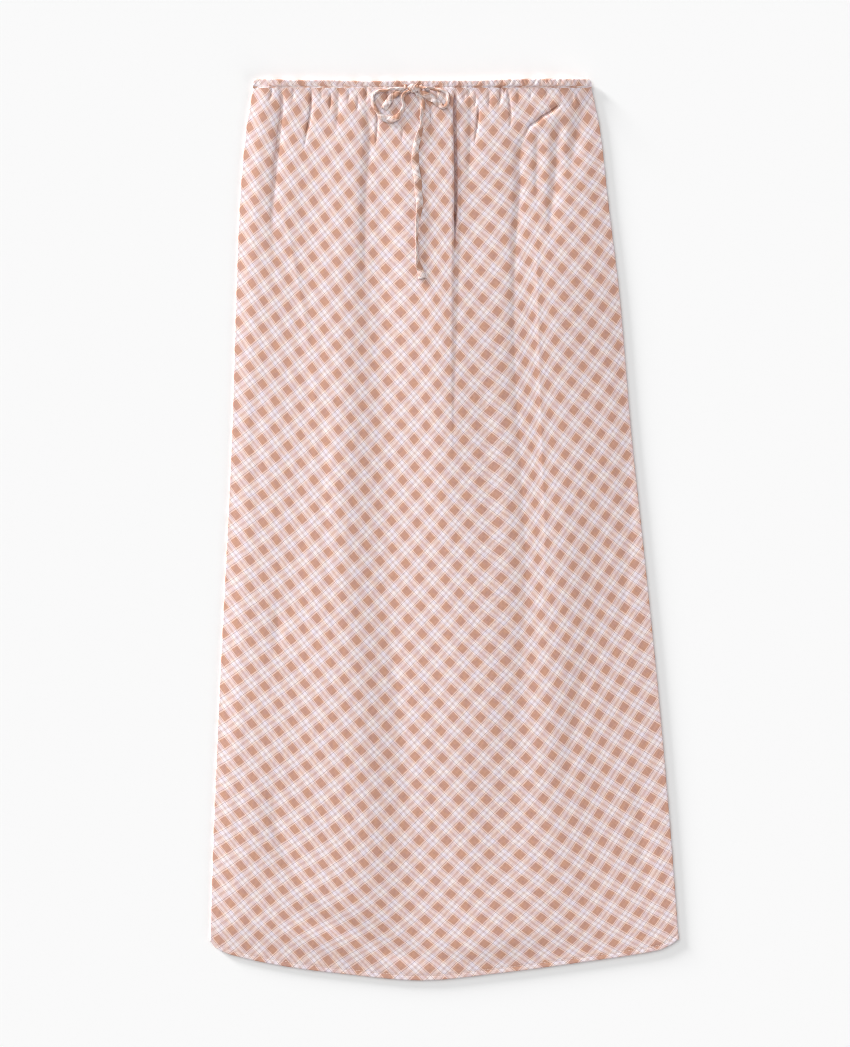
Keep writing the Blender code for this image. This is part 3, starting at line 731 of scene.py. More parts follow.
@dataclass(frozen=True)
class CheckedViscose:
    """Plain-woven viscose in a small yarn-dyed check: matt, soft, and a little uneven from thread to thread.

    A place has the mean colour of its two yarns, and the cloth is darkest where two brown ones cross.
    """

    name: str
    roughness: float = 0.78
    sheen: float = 0.12
    # The tie is painted a little darker than the skirt, as painted shade for the shade that falls on the bow
    tone: float = 1.0
    repeat: float = 20.3
    # The threads are 0.3 mm apart in the real cloth, and drawn three times coarser so that they show
    thread: float = 0.9
    thread_wanders: float = 1.3
    wander_scale: float = 0.09
    dye_scale: float = 0.13
    edge_blur: float = 0.16
    slub_scales: tuple[float, float] = (1.6, 0.08)
    slub_shades: tuple[float, float] = (0.88, 1.09)
    weave_shades: tuple[float, float] = (0.96, 1.04)
    weave_height: float = 0.08
    slub_height: float = 0.6
    stripes: tuple[Stripe, ...] = (
        Stripe(0.0, "#DDB4A4", 1.0),
        Stripe(4.1, "#F6DFD3", 0.0),
        Stripe(5.3, "#A89397", 0.0),
        Stripe(5.85, "#F5EDF0", 0.0),
        Stripe(9.0, "#D9C5C2", 0.0),
    )
    crossing: str = "#CB9E8A"
    warm: str = "#FFF9F3"
    cool: str = "#F6F2FA"

    def stripe_yarn(self, tree: Tree, place: Socket) -> bpy.types.Node:
        """Draws the stripes of one thread direction.

        Args:
            tree: The material's node tree.
            place: The place across the stripes, in millimetres.

        Returns:
            The ramp whose colour is the yarn's, and whose alpha says how brown it is.
        """
        half = self.repeat / 2
        soft = self.edge_blur / half
        colours = [linear(stripe.yarn)[:3] + (stripe.brown,) for stripe in self.stripes]
        stops = [(0.0, colours[0])]
        for stripe, before, after in zip(self.stripes[1:], colours, colours[1:]):
            edge = stripe.start / half
            stops += [(edge - soft / 2, before), (edge + soft / 2, after)]
        folded = combine(tree, "PINGPONG", place, half)
        return add_ramp(tree, combine(tree, "DIVIDE", folded, half), stops)

    def dyed_yarns(self, tree: Tree, threads: bpy.types.Node, grain: Socket) -> Socket:
        """Draws the check.

        Args:
            tree: The material's node tree.
            threads: The node that gives a place along warp and weft.
            grain: The same place, before the threads wander.

        Returns:
            The socket of the dyed cloth's colour.
        """
        warp, weft = (self.stripe_yarn(tree, threads.outputs[axis]) for axis in (0, 1))
        both = combine(tree, "ADD", warp.outputs["Color"], weft.outputs["Color"], "VectorMath")
        mean = combine(tree, "SCALE", both, 0.5, "VectorMath")
        browns = combine(tree, "MULTIPLY", warp.outputs["Alpha"], weft.outputs["Alpha"])
        # Of a mixing node's inputs, 0 is the share and 6 and 7 are the two colours
        square = add_node(tree, "Mix", {0: browns, 6: mean, 7: linear(self.crossing)}, data_type="RGBA")
        # The dye leans a little warmer or cooler every centimetre or so
        dye = add_noise(tree, grain, self.dye_scale, 2.0)
        lean = add_ramp(tree, dye.outputs["Fac"], [(0.35, linear(self.warm)), (0.65, linear(self.cool))])
        return combine(tree, "MULTIPLY", square.outputs[2], lean.outputs["Color"], "VectorMath")

    def shade(
        self, tree: Tree, value: Socket, ends: tuple[float, float], shades: tuple[float, float]
    ) -> Socket:
        """Turns a pattern into light and dark: its lowest and highest values become the shades."""
        inputs = dict(zip(("From Min", "From Max", "To Min", "To Max"), (*ends, *shades)))
        return add_node(tree, "MapRange", {"Value": value, **inputs}).outputs[0]

    def material(self) -> Material:
        """Builds the cloth's material, driven by its grain map.

        Returns:
            The material.
        """
        made, shader = start_material(self.name, {
            "Roughness": self.roughness, "IOR": 1.47, "Specular IOR Level": 0.3,
            "Sheen Weight": self.sheen, "Sheen Roughness": 0.45,
        })
        tree = made.node_tree
        grain = add_node(tree, "UVMap", uv_map="grain").outputs[0]
        # The threads wander by a fraction of a millimetre, as woven ones do
        wander = add_noise(tree, grain, self.wander_scale, 2.0).outputs["Color"]
        centred = combine(tree, "SUBTRACT", wander, (0.5, 0.5, 0.5), "VectorMath")
        small = combine(tree, "SCALE", centred, self.thread_wanders, "VectorMath")
        place = combine(tree, "ADD", grain, small, "VectorMath")
        threads = add_node(tree, "SeparateXYZ", {0: place})
        colour = self.dyed_yarns(tree, threads, grain)

        # Each crossing of two threads is a small round bump, with painted light: its colour is lighter on its
        # top
        turns = [combine(tree, "MULTIPLY", threads.outputs[axis], math.pi / self.thread) for axis in (0, 1)]
        waves = [add_node(tree, "Math", {0: turn}, operation="SINE").outputs[0] for turn in turns]
        weave = combine(tree, "MULTIPLY", *waves)
        # Slubs, a centimetre long and lying along one thread or the other
        streaks = []
        thin, long = self.slub_scales
        for stretch in ((long, thin, 1.0), (thin, long, 1.0)):
            spread = combine(tree, "MULTIPLY", place, stretch, "VectorMath")
            streaks.append(add_noise(tree, spread, 1.0, 3.0).outputs["Fac"])
        slubs = combine(tree, "ADD", *streaks)
        low, high = self.slub_shades
        # Painted shade: the tone scales the slubs' shades, and with them the whole colour, darker for the tie
        uneven = self.shade(tree, slubs, (0.7, 1.3), (low * self.tone, high * self.tone))
        # Painted light: the weave's colour is lighter on the tops of its bumps and darker between them
        painted_weave_light = self.shade(tree, weave, (-1.0, 1.0), self.weave_shades)
        toned = combine(tree, "SCALE", colour, combine(tree, "MULTIPLY", uneven, painted_weave_light), "VectorMath")
        tree.links.new(toned, shader.inputs["Base Color"])

        height = combine(tree, "ADD", weave, combine(tree, "MULTIPLY", slubs, self.slub_height))
        distance = self.weave_height * MM
        bump = add_node(tree, "Bump", {"Height": height, "Strength": 0.35, "Distance": distance})
        tree.links.new(bump.outputs[0], shader.inputs["Normal"])
        return made


@dataclass(frozen=True)
class SewingThread:
    """Spun polyester sewing thread: two plies with a faint gloss, between the cloth's brown and its white."""

    name: str = "spun polyester thread"
    colour: str = "#E6D2C8"
    shade: str = "#D0B5A8"

    def material(self) -> Material:
        """Builds the thread's material, with its plies as fine slanted stripes.

        Returns:
            The material.
        """
        made, shader = start_material(self.name, {"Roughness": 0.55, "Specular IOR Level": 0.4})
        tree = made.node_tree
        where = add_node(tree, "TexCoord").outputs["Object"]
        plies = add_node(
            tree, "TexWave", {"Vector": where, "Scale": 900.0, "Distortion": 1.5}, bands_direction="DIAGONAL"
        )
        colour = add_ramp(tree, plies.outputs["Fac"], [(0.0, linear(self.shade)), (1.0, linear(self.colour))])
        tree.links.new(colour.outputs[0], shader.inputs["Base Color"])
        return made


@dataclass(frozen=True)
class StudioPaper:
    """Matt white background paper: nearly white, with no grain that shows."""

    name: str = "matt white paper"
    colour: str = "#F7F7F7"

    def material(self) -> Material:
        """Builds the paper's material."""
        finish = {"Base Color": linear(self.colour), "Roughness": 0.9, "Specular IOR Level": 0.1}
        return start_material(self.name, finish)[0]


def grid_faces(
    rows: int, columns: int, closed: bool = False, capped: bool = False, flipped: bool = False
) -> list[tuple[int, ...]]:
    """Lists the quads of a grid of points, row after row.

    Args:
        rows: How many rows of points there are.
        columns: How many points a row has.
        closed: Whether a row's last point joins its first.
        capped: Whether the first and last rows are faces too.
        flipped: Whether the faces look the other way.

    Returns:
        The faces, as indices of points.
    """
    faces = []
    for low in range(0, (rows - 1) * columns, columns):
        for column in range(columns if closed else columns - 1):
            after = (column + 1) % columns
            faces.append((low + column, low + after, low + columns + after, low + columns + column))
    if capped:
        faces.append(tuple(range(columns - 1, -1, -1)))
        faces.append(tuple((rows - 1) * columns + k for k in range(columns)))
    return [face[::-1] for face in faces] if flipped else faces


def place_object(name: str, shape: bpy.types.ID) -> Object:
    """Puts an object into the scene.

    Args:
        name: The object's name.
        shape: Its mesh, light or camera.

    Returns:
        The object.
    """
    made = bpy.data.objects.new(name, shape)
    bpy.context.scene.collection.objects.link(made)
    return made


def add_piece(
    name: str, points: Grid, faces: Sequence[Sequence[int]], look: Material, grain: Grid | None = None
) -> Object:
    """Adds a smooth mesh object.

    Args:
        name: The object's name.
        points: Its points in millimetres, one a row.
        faces: Its faces, as indices of points.
        look: Its material.
        grain: For each point, its place along warp and weft in millimetres.

    Returns:
        The object, which rides on the skirt's body.
    """
    mesh = bpy.data.meshes.new(name)
    mesh.from_pydata((points * MM).tolist(), [], faces)
    mesh.materials.append(look)
    if grain is not None:
        layer = mesh.uv_layers.new(name="grain")
        corners = np.empty(len(mesh.loops), dtype=np.int32)
        mesh.loops.foreach_get("vertex_index", corners)
        layer.data.foreach_set("uv", grain[corners].astype(np.float32).ravel())
    mesh.shade_smooth()
    mesh.update()
    piece = place_object(name, mesh)
    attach(piece, "root")
    return piece


@dataclass
class SkirtPanel:
    """A panel of the skirt: a thin shell of cloth with its folds, its turns at the sides and its turned hem.

    Its cloth is worked out as one array of the places across, down and up of its points, row after row.
    """

    side: Side
    drape: Drape
    columns: int
    steps: tuple[Point, ...]
    crowd: float = 9.0
    crowd_width: float = 1.2
    crowd_reach: float = 30.0
    search_places: int = 1200
    # How far back from the hem's edge its turned layer is, and how many thicknesses of cloth further in
    hem_turn: tuple[tuple[float, float], ...] = ((-0.25, 0.35), (0.4, 0.9), (1.5, 1.0), (7.0, 1.0))
    hem_cloth: float = 0.8
    seam_lip: float = 0.9
    turn_angles: tuple[float, ...] = (90.0, 78.0, 64.0, 50.0, 36.0, 22.0, 10.0)
    smooth_places: int = 256
    smooth_reach: int = 40
    back_check: tuple[float, float] = (7.0, 3.0)
    flat: tuple[float, float] = (0.52, 0.97)
    flat_area: float = 0.455

    def row_shares(self) -> Grid:
        """Spaces the rows as the steps say.

        Returns:
            The rows, as shares of the panel's length.
        """
        top = self.drape.panel_top
        places = [top]
        while places[-1] < self.drape.length:
            places.append(places[-1] + float(read(self.steps, places[-1])))
        return (np.array(places) - top) / (places[-1] - top)

    def crowding(self, x: Grid, down: float) -> Grid:
        """Finds how closely the columns crowd: more where a crease is narrow.

        Args:
            x: Places across the skirt.
            down: How far below the waist edge they are.

        Returns:
            How many columns there are at each place, compared with smooth cloth.
        """
        close = np.full_like(x, 1.0)
        reach = self.crowd_reach
        for crease in FRONT_CREASES if self.side is Side.FRONT else BACK_CREASES:
            narrow = min(crease.left, crease.right)
            top, foot = crease.path[0][1], crease.path[-1][1]
            near = ease((down - top + reach) / reach) * ease((foot - down + reach) / (2 * reach))
            aside = x - self.drape.crease_line(crease, np.array(down))
            close += self.crowd / narrow * near * dent(aside / (self.crowd_width + self.crowd_width * narrow))
        return close

    def flat_places(self, shares: Grid) -> tuple[Grid, Grid]:
        """Places the flat's points, row after row.

        Args:
            shares: The rows, as shares of the panel's length.

        Returns:
            Their places across the skirt and down it.
        """
        drape = self.drape
        xs = np.empty((len(shares), self.columns))
        downs = np.empty_like(xs)
        even = np.linspace(0.0, 1.0, self.columns)
        for row, share in enumerate(shares):
            rough = mix(drape.panel_top, drape.length, share)
            fine = np.linspace(*drape.flat_ends(rough), self.search_places)
            grown = np.cumsum(self.crowding(fine, float(rough)))
            grown = (grown - grown[0]) / (grown[-1] - grown[0])
            x = np.interp(even, grown, fine)
            part = (x - fine[0]) / (fine[-1] - fine[0])
            down = mix(drape.panel_top, drape.hem_edge(x, np.full_like(x, rough)), share)
            xs[row] = mix(*drape.flat_ends(down), part)
            downs[row] = down
        return xs, downs

    def turn(self, outwards: int, x: Grid, down: Grid, angle: float) -> Grid:
        """Finds the points of a turn at a side, at one angle.

        Args:
            outwards: -1 at the skirt's left side, 1 at its right one.
            x: Where the flat ends across the skirt, row by row.
            down: How far down each row is there.
            angle: 0 where the turn leaves the flat, 90 at the seam.

        Returns:
            A column of the cloth.
        """
        height = self.drape.front_top(x, down)
        radius = self.drape.turn_radius(height)
        radians = math.radians(angle)
        sunk = radius * (1 - math.cos(radians))
        turned = x + outwards * radius * math.sin(radians)
        return np.stack([turned, down, height - sunk if self.side is Side.FRONT else sunk])[:, :, None]

    def add_sides(self, cloth: Grid) -> Grid:
        """Adds the turns at both sides, and the lips that the side seams join.

        Args:
            cloth: The flat's points.

        Returns:
            The cloth with its sides.
        """
        for outwards, edge in ((-1, 0), (1, -1)):
            x, down, _ = cloth[:, :, edge]
            for angle in reversed(self.turn_angles):
                turned = self.turn(outwards, x, down, angle)
                cloth = np.concatenate([cloth, turned][::outwards], axis=2)
            lip = turned.copy()
            lip[0] -= outwards * self.seam_lip
            cloth = np.concatenate([cloth, lip][::outwards], axis=2)
        return cloth

    def add_turned_hem(self, cloth: Grid) -> Grid:
        """Turns the foot of the cloth in under itself, as the hem is sewn.

        Args:
            cloth: The panel's points down to the hem.

        Returns:
            The cloth with its hem.
        """
        inwards = -1 if self.side is Side.FRONT else 1
        rows = [cloth]
        for back, further in self.hem_turn:
            shift = [0.0, -back, inwards * further * self.hem_cloth]
            rows.append(cloth[:, -1:] + np.reshape(shift, (3, 1, 1)))
        return np.concatenate(rows, axis=1)

    def grain_places(self, cloth: Grid) -> Grid:
        """Finds each point's place in the check: creases take up cloth, so the check jumps across them.

        Args:
            cloth: The panel's points.

        Returns:
            The places along warp and weft, one point a row.
        """
        x, down, z = cloth
        warp, weft = self.drape.grain(x, down)
        run = np.hypot(np.diff(x, axis=1), np.diff(z, axis=1)) - np.abs(np.diff(x, axis=1))
        taken = np.concatenate([np.zeros((len(x), 1)), np.cumsum(run, axis=1)], axis=1)
        smooth = np.empty_like(taken)
        kernel = np.hanning(2 * self.smooth_reach + 1)
        kernel = kernel / kernel.sum()
        for row, places in enumerate(x):
            order = np.argsort(places)
            even = np.linspace(places.min(), places.max(), self.smooth_places)
            level = np.interp(even, places[order], taken[row][order])
            padded = np.pad(level, self.smooth_reach, mode="reflect", reflect_type="odd")
            smooth[row] = np.interp(places, even, np.convolve(padded, kernel, mode="valid"))
        shift = (taken - smooth) * math.sqrt(0.5)
        if self.side is Side.BACK:
            warp, weft = weft + self.back_check[0], warp + self.back_check[1]
        return np.stack([warp + shift, weft - shift], axis=-1).reshape(-1, 2)

    def build(self, look: Material) -> None:
        """Builds the panel.

        Args:
            look: The cloth's material.
        """
        x, down = self.flat_places(self.row_shares())
        cloth = np.stack([x, down, self.drape.outer_side(self.side, x, down)])
        cloth = self.add_turned_hem(self.add_sides(cloth))
        _, rows, columns = cloth.shape
        faces = grid_faces(rows, columns, flipped=self.side is Side.FRONT)
        name = f"{self.side.value}_cloth"
        piece = add_piece(name, self.drape.points(*cloth), faces, look, self.grain_places(cloth))
        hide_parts(f"{self.side.value}_panel")
        log.info("%s: %d columns and %d rows", name, columns, rows)


@dataclass
class WaistCasing:
    """A waist casing: cloth ruched over flat elastic, full in its middle and pinched at its stitching."""

    side: Side
    drape: Drape
    step: float = 0.75
    outer_count: int = 16
    inner_count: int = 7
    row_apart: float = 0.6
    close_row: float = 0.12
    gather_apart: float = 5.6
    gather_spread: float = 2.2
    least_swell: float = 0.75
    swell_curve: float = 0.7
    ruche_slant: float = 0.5
    stitch_line: float = 8.8
    pinch_least: float = 0.02
    pinch_depth: float = 2.0
    pinch_width: float = 0.8
    fullness: float = 3.6
    full_least: float = 0.88
    full_gathered: float = 0.45
    joins_from: float = 6.4
    joins_over: float = 3.4
    end_settles: float = 30.0
    end_fullness: float = 0.25
    end_length: float = 5.0
    end_tall: float = 0.45
    end_thick: float = 0.6
    edge_down: float = 0.2
    above_floor: float = 0.02
    takes_up: float = 0.35
    scallop: float = 0.22
    scallop_reach: float = 2.5
    holes: tuple[float, ...] = (-40.5, -25.5)
    hole_down: float = 8.6
    hole_depth: float = 2.1
    hole_size: tuple[float, float] = (3.4, 2.2)
    least: float = 0.2

    def gathers(self) -> Grid:
        """Spaces the gathers' pinched lines unevenly.

        Returns:
            Where they lie across the casing.
        """
        # Each casing has gathers of its own
        rng = np.random.default_rng(11 if self.side is Side.FRONT else 12)
        left, right = self.drape.waist
        places = [left]
        while places[-1] < right:
            places.append(places[-1] + self.gather_apart + self.gather_spread * rng.uniform(-1, 1))
        return np.array(places)

    def swell(self, x: Grid) -> Grid:
        """Finds how far the cloth stands up between two gathers.

        Args:
            x: Places across the casing.

        Returns:
            0 at a gather's line, and up to 1 between two of them.
        """
        places = self.gathers()
        index = np.clip(np.searchsorted(places, x, side="right") - 1, 0, len(places) - 2)
        t = (x - places[index]) / (places[index + 1] - places[index])
        # One gather is fuller than the next
        uneven = self.least_swell + (1 - self.least_swell) * np.sin(2.3 * index + 0.8)
        return uneven * np.sin(np.pi * np.clip(t, 0.0, 1.0)) ** self.swell_curve

    def lean(self, x: Grid, down: Grid) -> Grid:
        """How far the casing follows the slanting sides of the skirt."""
        shifts = (there - end for there, end in zip(self.drape.sides(down), self.drape.waist))
        return mix(*shifts, self.drape.waist_share(x))

    def outer_height(self, x: Grid, down: Grid) -> Grid:
        """Finds how high the casing's outer side is over its inner side.

        Args:
            x: Places across the casing.
            down: Places below the waist edge.

        Returns:
            The heights, in millimetres.
        """
        drape = self.drape
        profile = read(CASING_SECTION, down)
        gathered = read(RUCHES, drape.waist_share(x))
        # The ruches slant now one way, now the other
        slant = x + self.ruche_slant * (down - drape.casing_height / 2) * np.sin(0.21 * x)
        ruche = gathered * (self.swell(slant) - 0.5) * profile
        pinch = self.pinch_least + self.pinch_depth * gathered * (1 - self.swell(x))
        pinch = pinch * dent((down - self.stitch_line) / self.pinch_width)
        settled = mix(self.end_fullness, 1.0, ease(drape.waist_end(x) / self.end_settles))
        # The closer the gathers are, the fuller the cloth stands
        full = self.fullness * (self.full_least + self.full_gathered * gathered)
        height = full * settled * profile + ruche
        # Its lower edge runs on into the panel, as one piece of cloth does
        meets = drape.outer_side(self.side, x, np.full_like(x, drape.panel_top))
        if self.side is Side.FRONT:
            meets = meets - drape.casing_thickness - drape.seam_gap
        else:
            meets = drape.casing_thickness - meets
        height = mix(height, meets, ease((down - self.joins_from) / self.joins_over)) - pinch
        for hole in self.holes if self.side is Side.FRONT else ():
            wide, tall = self.hole_size
            height -= self.hole_depth * dent(((x - hole) / wide) ** 2 + ((down - self.hole_down) / tall) ** 2)
        return np.maximum(height, self.least)

    def build(self, look: Material) -> None:
        """Builds the casing as a closed band.

        Args:
            look: The cloth's material.
        """
        drape = self.drape
        left, right = drape.waist
        low = drape.casing_height
        stations = np.append(np.arange(left, right, self.step), right)
        # A row close to the lower edge keeps its shading narrow
        outer_rows = np.linspace(low - self.row_apart, 0.0, self.outer_count)
        outer_rows = np.concatenate([[low, low - self.close_row], outer_rows])
        all_rows = np.append(outer_rows, np.linspace(self.row_apart, low - self.edge_down, self.inner_count))
        is_outer = np.arange(len(all_rows)) < len(outer_rows)
        x, down = np.meshgrid(stations, all_rows, indexing="ij")
        height = np.where(is_outer, self.outer_height(x, np.clip(down, 0.0, low)), 0.0)
        reach = self.scallop_reach
        scallop = self.scallop * self.swell(x) * ease((reach - down) / reach) * is_outer
        # At the round corners the top edge comes down to the lower one, and the band is thinner
        end = np.clip(drape.waist_end(x) / self.end_length, 0.0, 1.0)
        rounded = np.sqrt(1 - (1 - end) ** 2)
        sag = read(WAIST_SAG, drape.waist_share(x))
        narrow = mix(self.end_tall, 1.0, rounded) * (1 - sag / low)
        down = mix(low, down - scallop + self.edge_down, narrow)
        height = height * mix(self.end_thick, 1.0, rounded)
        if self.side is Side.FRONT:
            z = drape.casing_thickness + drape.seam_gap + height
        else:
            z = np.maximum(drape.casing_thickness - height, self.above_floor)
        points = drape.points(x + self.lean(x, np.clip(down, 0.0, low)), down, z)
        rows, columns = x.shape
        faces = grid_faces(rows, columns, closed=True, capped=True, flipped=self.side is Side.BACK)
        # The gathers take up cloth, so the check jumps across them
        warp, weft = drape.grain(x, down)
        taken = np.cumsum(np.vstack([np.zeros((1, columns)), np.abs(np.diff(z, axis=0))]), axis=0)
        taken = (taken - taken.mean(axis=0)) * self.takes_up
        grain = np.stack([warp + taken, weft - taken], axis=-1)
        name = f"{self.side.value}_waist_casing"
        piece = add_piece(name, points, faces, look, grain.reshape(-1, 2))
        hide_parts(f"{self.side.value}_casing")
        log.info("%s: %d gathers", name, len(self.gathers()))


@dataclass
class BowTie:
    """The tie in its bow: two continuous flat bands that run from the buttonholes through the knot."""

    drape: Drape
    width: float = 8.0
    thickness: float = 0.9
    ridge: float = 1.0
    ridge_sway: float = 0.18
    ridge_middle: float = 0.45
    crumple: float = 0.42
    clearance: float = 0.4
    over_casing: float = 0.8
    settles: float = 0.3
    smoothings: int = 3
    check_start: float = 3.0
    under_check: float = 9.0
    step: float = 1.3
    knot_place: tuple[float, float] = (-33.2, 10.8)
    knot_size: tuple[float, float, float] = (14.0, 9.6, 4.4)
    knot_grid: tuple[int, int] = (40, 72)
    knot_share: float = 0.46
    knot_pull: float = 0.1

    def highest_under(self, x: Grid, down: Grid, reach: Grid) -> Grid:
        """Finds the highest that the cloth comes within a reach of each place.

        Args:
            x: Places across the skirt.
            down: Places below the waist edge.
            reach: How far round each place to look.

        Returns:
            The heights above the floor.
        """
        drape = self.drape
        shifts = np.array([-1.0, -0.5, 0.0, 0.5, 1.0])
        x = x[:, None, None] + reach[:, None, None] * shifts[None, :, None]
        down = down[:, None, None] + reach[:, None, None] * shifts[None, None, :]
        x, down = np.broadcast_arrays(x, down)
        casing = 2 * drape.casing_thickness + drape.seam_gap + self.over_casing
        front = drape.front_top(x, np.maximum(down, drape.panel_top))
        return np.where(down < drape.panel_top, casing, front).max(axis=(1, 2))

    def route(self, rows: Sequence[Strand]) -> tuple[Strand, ...]:
        """Follows a route on a smooth curve through its rows.

        Args:
            rows: The route's points.

        Returns:
            Points of the curve, a step apart.
        """
        travelled = [0.0]
        for before, after in zip(rows, rows[1:]):
            travelled.append(travelled[-1] + math.hypot(after.x - before.x, after.down - before.down))
        at = np.linspace(0.0, travelled[-1], math.ceil(travelled[-1] / self.step) + 1)
        return table(Strand, *zip(*(follow(travelled, column, at).tolist() for column in zip(*rows))))

    def centres(self, route: Sequence[Strand]) -> list[Vector]:
        """Finds the middle of the band along its route, clear of the cloth under it.

        Args:
            route: Points of the route.

        Returns:
            The middle at each of them, in millimetres.
        """
        x, down, lift, tilt, width = np.array(route).T
        half = self.width * width / 2
        tilt = np.radians(tilt)
        rise = half * np.abs(np.sin(tilt)) + self.thickness / 2 * np.abs(np.cos(tilt))
        under = self.highest_under(x, down, half * np.abs(np.cos(tilt)))
        height = under + self.clearance + lift + rise
        smooth = height.copy()
        for _ in range(self.smoothings):
            smooth[1:-1] = (smooth[:-2] + 2 * smooth[1:-1] + smooth[2:]) / 4
        smooth = np.maximum(smooth, height - self.settles)
        return [Vector(place) for place in zip(x, self.drape.length / 2 - down, smooth)]

    def band(
        self, name: str, rows: Sequence[Strand], nodes: Sequence[str], look: Material
    ) -> None:
        """Builds one band of the tie.

        Args:
            name: The piece's name.
            rows: Its route, from its buttonhole to its free end.
            nodes: The solids that it stands for.
            look: The cloth's material.
        """
        route = self.route(rows)
        centres = self.centres(route)
        points, grain = [], []
        travelled = 0.0
        for k, row in enumerate(route):
            along = (centres[min(k + 1, len(centres) - 1)] - centres[max(k - 1, 0)]).normalized()
            aside = along.cross(Vector((0, 0, 1))).normalized()
            aside = Matrix.Rotation(math.radians(row.tilt), 3, along) @ aside
            through = aside.cross(along).normalized()
            half = self.width * row.width / 2
            if k:
                travelled += (centres[k] - centres[k - 1]).length
            upright = 1.0 if through.z >= 0 else -1.0
            # The band lies in a shallow ridge along its length, a little off its middle, and crinkles
            ridge = self.ridge_sway * math.sin(0.11 * travelled)
            for a, b in BAND_SECTION:
                fold = self.ridge * (self.ridge_middle - abs(a - ridge)) * upright
                crinkle = self.crumple * math.sin(0.95 * travelled + 2.6 * a) * math.sin(0.37 * travelled + a)
                raised = self.thickness / 2 * b + fold + crinkle
                points.append(centres[k] + aside * half * a + through * raised)
                across = self.width / 2 * a + (0.0 if b >= 0 else self.under_check)
                warp, weft = (travelled + across) * math.sqrt(0.5), (travelled - across) * math.sqrt(0.5)
                grain.append((warp + self.check_start, weft))
        faces = grid_faces(len(route), len(BAND_SECTION), closed=True, capped=True)
        piece = add_piece(name, np.array(points), faces, look, np.array(grain))
        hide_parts(*nodes)
        log.info("%s: %.0f mm long", name, travelled)

    def knot(self, look: Material) -> Object:
        """Builds the knot: a rounded wrap with the folds of the band's turns round it.

        Args:
            look: The cloth's material.

        Returns:
            The knot's object.
        """
        rows, columns = self.knot_grid
        wide, tall, high = self.knot_size
        x0, down0 = self.knot_place
        under = float(self.highest_under(np.array([x0]), np.array([down0]), np.array([tall / 2]))[0])
        centre = np.array([x0, self.drape.length / 2 - down0, under + self.clearance + high / 2])
        points, grain = [], []
        for row in range(rows):
            tilt = math.pi * (row / (rows - 1) - 0.5)
            for column in range(columns):
                flat = direction(2 * math.pi * column / columns, tilt)
                # The last wrap runs over the others, and the bands' ends pull dimples in at the sides
                wrap = 0.09 * math.sin(7 * flat.x + 3.5 * flat.y) + 0.05 * math.sin(13 * flat.x - 5 * flat.y)
                pull = self.knot_pull * abs(flat.x) ** 4
                size = self.knot_share * (1 + wrap - pull)
                points.append((flat.x * wide * size, flat.y * tall * size, flat.z * high * size))
                grain.append((10 + 9 * flat.x + 5 * flat.y, 8 * flat.y - 6 * flat.x))
        faces = grid_faces(rows, columns, closed=True)
        piece = add_piece("bow_knot", np.array(points) + centre, faces, look, np.array(grain))
        weld = piece.modifiers.new("poles", "WELD")
        weld.merge_threshold = 0.01 * MM
        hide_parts("tie_knot")
        return piece

    def build(self, look: Material) -> None:
        """Builds the knot and the two bands that run through it.

        Args:
            look: The cloth's material.
        """
        knot = self.knot(look)
        long_route = (*HOLE_TO_LEFT_LOOP, *LEFT_LOOP, *LEFT_LOOP_TO_TAIL, *LONG_TAIL)
        short_route = (*HOLE_TO_RIGHT_LOOP, *RIGHT_LOOP, *RIGHT_LOOP_TO_TAIL, *SHORT_TAIL)
        self.band("long_band", long_route, ("tie_left_loop", "tie_long_tail"), look)
        self.band("short_band", short_route, ("tie_right_loop", "tie_short_tail"), look)


